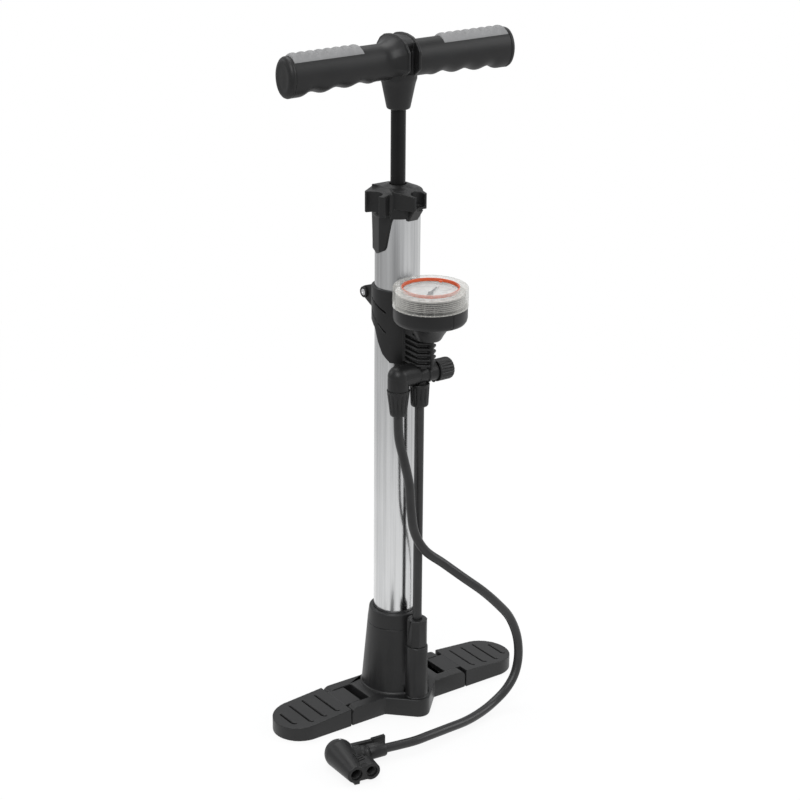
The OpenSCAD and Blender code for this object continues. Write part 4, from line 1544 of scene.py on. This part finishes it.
@dataclass
class AirLine:
    """Manifold, its knurled cap, elbow, fluted nuts and feed tube."""

    maker: Maker
    line_y: float = -33.5
    line_z: float = 320.0
    elbow_x: float = -22.0
    arm_r: float = 8.8
    arm_up: float = 2.4
    hose_nut: NutSize = NutSize(-22.0, 310.6, 287.6, 9.75, 6.9, 14, 4.05)
    tube_nut: NutSize = NutSize(0.0, 312.0, 292.0, 8.5, 7.5, 12, 4.0)
    tube_r: float = 4.0
    tube_low: float = 71.0
    tube_top: float = 300.0
    tube_wall: float = 1.2
    flute_deep: float = 0.85
    flute_points: int = 10
    flute_power: float = 1.4
    cap_flutes: int = 20

    def build(self) -> None:
        """Makes every piece of the air line."""
        make = self.maker
        palette = make.palette
        y = self.line_y
        raised = self.line_z + self.arm_up
        arm = make.lathe([(0, self.elbow_x), (self.arm_r, self.elbow_x), (self.arm_r, -4.4), (0, -4.4)], 64,
                         (0, y, raised), "X")
        knee = bmesh.new()
        bmesh.ops.create_uvsphere(knee, u_segments=48, v_segments=32, radius=(self.arm_r + 0.3) * MM)
        bmesh.ops.translate(knee, vec=Vector((self.elbow_x, y, raised)) * MM, verts=knee.verts)
        elbow = make.piece("hose_elbow_soft", joined(make.merged("hose_elbow"), arm, knee), palette.black,
                           Body.FRAME, Slot.BLACK, ("hose_elbow",), MOULDED_DEG)
        make.melted(elbow, 0.28, 6)
        make.melted(make.copied("manifold", palette.black, Body.FRAME, Slot.BLACK), 0.28, 4)
        for name, bm, body, node in (("hose_gland_nut", self._nut(self.hose_nut), Body.FRAME, "hose_nut"),
                                     ("tube_gland_nut", self._nut(self.tube_nut), Body.FRAME, "tube_nut"),
                                     ("knurled_cap", self._cap(), Body.RELIEF_CAP, "manifold_cap")):
            make.piece(name, bm, palette.black, body, Slot.BLACK, (node,), MOULDED_DEG)
        bore = self.tube_r - self.tube_wall
        tube = make.lathe([(bore, self.tube_low), (self.tube_r, self.tube_low), (self.tube_r, self.tube_top),
                           (bore, self.tube_top)], 48, (0, y, 0))
        make.piece("feed_pipe", tube, palette.hose, Body.FRAME, Slot.BLACK, ("feed_tube",))

    def _nut(self, nut: NutSize) -> bmesh.types.BMesh:
        """A tapered nut with long flutes.

        Args:
            nut: its sizes.

        Returns:
            The nut.
        """
        at = Vector((nut.x, self.line_y, 0.0))
        tall = nut.top - nut.low
        stations = [(0.0, -0.9, 0), (0.0, -0.25, 0), (0.3, 0, 0), (1.8, 0, 0), (2.2, -0.05, 0.4),
                    (3.2, 0, 1), (tall * 0.6, 0, 1), (tall - 4.5, 0, 0.75), (tall - 3.2, 0.05, 0.3),
                    (tall - 2.2, 0.05, 0), (tall - 0.9, -0.1, 0), (tall - 0.25, -0.5, 0), (tall, -1.2, 0)]
        outlines = []
        for down, grow, cut in stations:
            r = nut.r_top + (nut.r_low - nut.r_top) * down / tall + grow
            outlines.append(self._fluted(at, r, cut * self.flute_deep, nut.flutes, nut.top - down))
        outlines.append(self._fluted(at, nut.bore, 0.0, nut.flutes, nut.low))
        return self.maker.rings(outlines)

    def _fluted(self, at: Vector, r: float, cut: float, flutes: int, z: float) -> list[Vector]:
        """A round outline with evenly spaced hollows.

        Args:
            at: place of the axis.
            r: radius.
            cut: depth of the hollows.
            flutes: number of hollows.
            z: height.

        Returns:
            The outline.
        """
        count = flutes * self.flute_points
        points = []
        for i in range(count):
            angle = 2 * math.pi * i / count
            near = r - cut * max(0.0, math.cos(flutes * angle)) ** self.flute_power
            points.append(Vector((at.x + near * math.cos(angle), at.y + near * math.sin(angle), z)))
        return points

    def _cap(self) -> bmesh.types.BMesh:
        """The knurled cap on the manifold's end.

        Returns:
            The cap.
        """
        stations = [(15.6, 8.6, 0), (15.6, 9.2, 0), (16.0, 9.5, 0), (17.0, 9.5, 0.1), (17.8, 9.5, 0.75),
                    (28.2, 9.5, 0.75), (29.4, 9.1, 0.55), (30.2, 8.5, 0.3), (30.5, 7.6, 0), (30.5, 6.4, 0),
                    (30.1, 5.8, 0), (30.1, 1.0, 0)]
        middle = Vector((0.0, 0.0, 0.0))
        outlines = [self._fluted(middle, r, cut, self.cap_flutes, x) for x, r, cut in stations]
        bm = self.maker.rings(outlines)
        bm.transform(placed((0, self.line_y, self.line_z), "X"))
        return bm


@dataclass
class ValveHead:
    """Twin valve head with its lever, pin, sleeve and seals."""

    maker: Maker
    at: tuple[float, float] = HEAD_AT
    turn_deg: float = HEAD_TURN_DEG
    axis_z: float = 9.6
    hose_y: float = 30.0
    lever_x: float = -5.0
    lever_y: float = 39.0
    port_x: float = 7.0
    web_size: Point = (11.5, 13.6, 2.0)
    web_at: Point = (0.75, 10.8, 16.0)
    slit_lines: tuple[tuple[float, ...], ...] = (
        (-2.6, 14.4, 4.6, 16.4), (-2.6, 11.2, 5.0, 13.4), (-2.6, 8.0, 5.0, 10.4))
    slit_half: float = 0.5
    slit_lift: float = 0.07
    slit_deep: float = 0.8
    probe_z: float = 40.0
    slit_steps: int = 12

    def place(self, x: float, y: float, z: float) -> Point:
        """Takes a place from the head's own frame to the pump's.

        Args:
            x: along the line of the two ports.
            y: along the hose's side of the head.
            z: height over the floor.

        Returns:
            The place in the pump's frame.
        """
        turn = math.radians(self.turn_deg)
        return (self.at[0] + x * math.cos(turn) - y * math.sin(turn),
                self.at[1] + x * math.sin(turn) + y * math.cos(turn), z)

    def build(self) -> list[bpy.types.Object]:
        """Makes the head.

        Returns:
            The head's pieces, which are handed to the hose.
        """
        make = self.maker
        palette = make.palette
        black = palette.black
        body = make.piece("head_body_soft", joined(make.merged("head_body"), self._web()), black, Body.FRAME,
                          Slot.BLACK, ("head_body",), MOULDED_DEG)
        make.melted(body, 0.3, 4)
        lever = make.melted(make.copied("head_lever", black, Body.LEVER, Slot.BLACK), 0.25, 8)
        ferrule = make.lathe([(2, 3.4), (5, 3.4), (5, 9.4), (6.6, 9.4), (6.9, 9.8), (6.9, 15.0), (6.5, 15.4),
                              (6.1, 15.6), (6.1, 16.6), (6.5, 16.8), (6.9, 17.2), (6.3, 31.6), (5.9, 32.6),
                              (5.2, 33), (4.05, 33), (4.05, 20.1), (2, 20.1)], 64,
                             self.place(0, self.hose_y, self.axis_z), "X", 0, self.turn_deg)
        sleeve = make.piece("hose_ferrule", ferrule, black, Body.FRAME, Slot.BLACK, ("hose_sleeve",),
                            MOULDED_DEG)
        shaft = make.lathe([(0, 1.4), (1.5, 1.4), (1.5, 22.5), (1.2, 22.9), (0.6, 23.1), (0, 23.15)], 32,
                           self.place(self.lever_x, self.lever_y, 0))
        pin = make.piece("lever_rivet", shaft, palette.steel, Body.FRAME, Slot.STEEL, ("lever_pin",),
                         MOULDED_DEG)
        seals = []
        for node, x, r, bore, deep in (("schrader_seal", -self.port_x, 5.2, 4.05, 17.0),
                                       ("presta_seal", self.port_x, 5.0, 3.15, 13.0)):
            ring = make.lathe([(bore + 0.5, 2.5), (r, 2.5), (r, deep), (bore, deep), (bore, 3.2)], 48,
                              self.place(x, 0, self.axis_z), "Y", 0, self.turn_deg)
            seals.append(make.piece(f"{node}_ring", ring, palette.rubber, Body.FRAME, Slot.RUBBER, (node,),
                                    MOULDED_DEG))
        plunger = make.softened("head_plunger", palette.inner, Body.PLUNGER, Slot.INNER, 0.3)
        skin = bmesh.new()
        skin.from_mesh(body.data)
        tree = BVHTree.FromBMesh(skin)
        skin.free()
        # Near-black strips of painted shade mark the slits in the web between the ports.
        lines = [self._slit(tree, line) for line in self.slit_lines]
        slit_shade_piece = make.piece("head_slits", joined(*lines), palette.shade, Body.FRAME, Slot.BLACK)
        return [body, lever, sleeve, pin, *seals, plunger, slit_shade_piece]

    def _web(self) -> bmesh.types.BMesh:
        """The flat web that fills the valley between the two ports.

        Returns:
            The web.
        """
        bm = self.maker.box(self.web_size)
        bm.transform(placed(self.place(*self.web_at), "Z", self.turn_deg))
        return bm

    def _slit(self, skin: BVHTree, line: tuple[float, ...]) -> bmesh.types.BMesh:
        """A near-black strip of painted shade that marks a slit in the body between its two ports.

        Args:
            skin: the body's surface.
            line: x and y of both ends in the head's own frame.

        Returns:
            The strip of painted shade.
        """
        start = Vector(line[:2])
        along = Vector(line[2:]) - start
        wide = along.orthogonal().normalized() * self.slit_half
        lift = UP * self.slit_lift
        sink = UP * self.slit_deep
        outlines = []
        for step in range(self.slit_steps + 1):
            middle = start + along * (step / self.slit_steps)
            left, right = (self._surface(skin, middle + wide * side) for side in (-1, 1))
            outlines.append([left + lift, right + lift, right - sink, left - sink])
        return self.maker.rings(outlines)

    def _surface(self, skin: BVHTree, spot: Vector) -> Vector:
        """The place on the body straight below a spot of the head's own frame, in millimetres."""
        above = Vector(self.place(spot.x, spot.y, self.probe_z))
        return skin.ray_cast(above * MM, -UP)[0] / MM


@dataclass
class Base:
    """Base with its tower and boss, the folding feet and the barrel's collar."""

    maker: Maker
    foot_in: float = 63.2
    foot_top: float = 16.8
    foot_fall: float = 0.077
    tread_step: float = 13.46
    tread_halves: tuple[float, ...] = (17.6, 17.6, 17.6, 11.0)
    tread_sink: float = 0.45
    tread_deep: float = 0.5
    hook_r: float = 3.0
    hook_steps: int = 8
    # Place and size of the near-black plates of painted shade under the slots.
    slot_x: float = 55.5
    slot_z: float = 0.5
    slot_size: Point = (13.0, 38.0, 0.4)
    tower_top: float = 78.0

    def build(self) -> None:
        """Makes the base and the feet."""
        make = self.maker
        palette = make.palette
        make.softened("base_body", palette.base, Body.FRAME, Slot.BLACK, 1.0)
        low = self.tower_top
        collar = make.lathe([(19.2, low), (24.4, low), (24.4, low + 1), (22.9, low + 13.2), (22.2, low + 14),
                             (19.2, low + 14)], 96, round_mm=0.35)
        make.piece("tower_collar", collar, palette.base, Body.FRAME, Slot.BLACK, ("barrel_collar",),
                   MOULDED_DEG)
        make.softened("lower_gland", palette.base, Body.FRAME, Slot.BLACK, 0.6)
        for side, name, body in ((-1, "left", Body.LEFT_FOOT), (1, "right", Body.RIGHT_FOOT)):
            make.melted(make.copied(f"{name}_foot", palette.base, body, Slot.BLACK), 0.36, 3)
            # Near-black strips of painted shade stand for the shade in the tread grooves.
            treads = [self._tread(side, self.foot_in + self.tread_step * (i + 0.85), half)
                      for i, half in enumerate(self.tread_halves)]
            make.piece(f"{name}_tread_lines", joined(*treads), palette.shade, body, Slot.BLACK)
            # A near-black plate of painted shade under each slot hides the floor seen through it.
            floor = make.box(self.slot_size, (side * self.slot_x, 0.0, self.slot_z))
            make.piece(f"{name}_slot_floor", floor, palette.shade, Body.FRAME, Slot.BLACK)

    def _tread(self, side: int, away: float, half: float) -> bmesh.types.BMesh:
        """A near-black strip of painted shade on the floor of a tread groove, with its hook at the front.

        Args:
            side: 1 for the right foot, -1 for the left one.
            away: distance of the groove from the barrel's axis.
            half: half of its length.

        Returns:
            The strip of painted shade.
        """
        x = side * away
        r = self.hook_r
        line = [(x, half - 0.3, 0.0), (x, r - half, 0.0)]
        for i in range(1, self.hook_steps + 1):
            angle = math.radians(90 * i / self.hook_steps)
            line.append((x + r - r * math.cos(angle), r - half - r * math.sin(angle), angle))
        outlines = []
        for px, py, angle in line:
            top = self.foot_top - (abs(px) - self.foot_in) * self.foot_fall - self.tread_sink
            wide = 0.7 if py < half - 1 else 0.5
            across = Vector((math.cos(angle), math.sin(angle), 0.0)) * wide
            middle = Vector((px, py, top))
            low = middle - UP * self.tread_deep
            outlines.append([middle - across, middle + across, low + across, low - across])
        return self.maker.rings(outlines)


@dataclass
class Bracket:
    """Bracket that clamps the gauge to the barrel."""

    maker: Maker
    bolt_at: Point = (0.0, 39.2, 374.0)
    seat_z: float = 386.0
    groove_r: float = 20.8
    groove_deep: float = 0.6
    groove_half: float = 0.75
    groove_rear: float = 8.0
    groove_run: float = 18.0
    groove_steps: int = 12
    groove_ends: tuple[tuple[float, float], ...] = ((-6.0, -15.3), (-17.0, -33.0))

    def build(self) -> None:
        """Makes the bracket with its bolt and nut."""
        make = self.maker
        palette = make.palette
        make.melted(make.copied("gauge_bracket", palette.black, Body.FRAME, Slot.BLACK), 0.42, 3)
        bolt = make.lathe([(0, -7.4), (1.0, -7.4), (1.4, -7.9), (2.6, -7.9), (3.0, -7.6), (3.0, -6), (2, -6),
                           (2, 10.4), (0, 10.4)], 40, self.bolt_at, "X")
        make.piece("clamp_screw", bolt, palette.steel, Body.FRAME, Slot.STEEL, ("clamp_bolt",), TURNED_DEG)
        boss = make.lathe([(3.05, -8.0), (4.3, -8.0), (4.8, -7.5), (4.8, -5.8), (3.05, -5.8)], 40,
                          self.bolt_at, "X")
        make.piece("clamp_boss", boss, palette.black, Body.FRAME, Slot.BLACK, (), TURNED_DEG)
        # Near-black strips of painted shade stand for the shade in the saddle's grooves.
        grooves = [self._groove(side, start, end) for side in (-1, 1) for start, end in self.groove_ends]
        make.piece("saddle_lines", joined(*grooves), palette.shade, Body.FRAME, Slot.BLACK)
        make.softened("clamp_nut", palette.steel, Body.FRAME, Slot.STEEL, 0.3)

    def _groove(self, side: int, start: float, end: float) -> bmesh.types.BMesh:
        """A near-black strip of painted shade on the floor of a slanted groove in the saddle.

        Args:
            side: 1 for the right of the saddle, -1 for the left.
            start: height of its rear end from the gauge's seat.
            end: height of its front end.

        Returns:
            The strip of painted shade.
        """
        outlines = []
        for i in range(self.groove_steps + 1):
            share = i / self.groove_steps
            y = self.groove_rear - self.groove_run * share
            z = self.seat_z + start + (end - start) * share
            near = side * math.sqrt(self.groove_r ** 2 - y * y)
            deep = side * math.sqrt((self.groove_r - self.groove_deep) ** 2 - y * y)
            low = z - self.groove_half
            top = z + self.groove_half
            outlines.append([Vector((deep, y, low)), Vector((near, y, low)), Vector((near, y, top)),
                             Vector((deep, y, top))])
        return self.maker.rings(outlines)


@dataclass
class Inside:
    """Pieces that the outside hides: seals, piston, check valve, bush, pins and gauge movement."""

    maker: Maker

    def build(self) -> None:
        """Makes soft copies of the hidden pieces."""
        palette = self.maker.palette
        plan = (
            (palette.rubber, Slot.RUBBER, Body.FRAME, ("barrel_seal", "top_bumper", "elbow_seal")),
            (palette.rubber, Slot.RUBBER, Body.HANDLE, ("piston_seal",)),
            (palette.rubber, Slot.RUBBER, Body.BALL, ("check_ball",)),
            (palette.inner, Slot.INNER, Body.BUSH, ("rod_bush",)),
            (palette.inner, Slot.INNER, Body.HANDLE, ("piston_head",)),
            (palette.steel, Slot.STEEL, Body.FRAME, ("left_foot_pin", "right_foot_pin", "check_spring")),
            (palette.steel, Slot.STEEL, Body.HANDLE, ("rod_end", "piston_nut", "handle_pin")),
            (palette.brass, Slot.BRASS, Body.FRAME, ("gauge_movement",)),
        )
        for material, slot, body, nodes in plan:
            for node in nodes:
                self.maker.softened(node, material, body, slot, 0.25)


def main() -> None:
    """Builds every sub-assembly in order."""
    logging.basicConfig(level=logging.INFO, format="%(message)s")
    scene = bpy.context.scene
    scene.view_settings.view_transform = "Standard"
    palette = Palette()
    maker = Maker(palette)
    studio = Studio()
    studio.camera()
    studio.lights()
    studio.floor()
    Base(maker).build()
    Pillar(maker).build()
    Handle(maker).build()
    Bracket(maker).build()
    Gauge(maker).build()
    AirLine(maker).build()
    head = ValveHead(maker).build()
    Hose(maker).build(head)
    Inside(maker).build()
    log.info("pieces made: %d", maker.count)


if __name__ == "__main__":
    main()
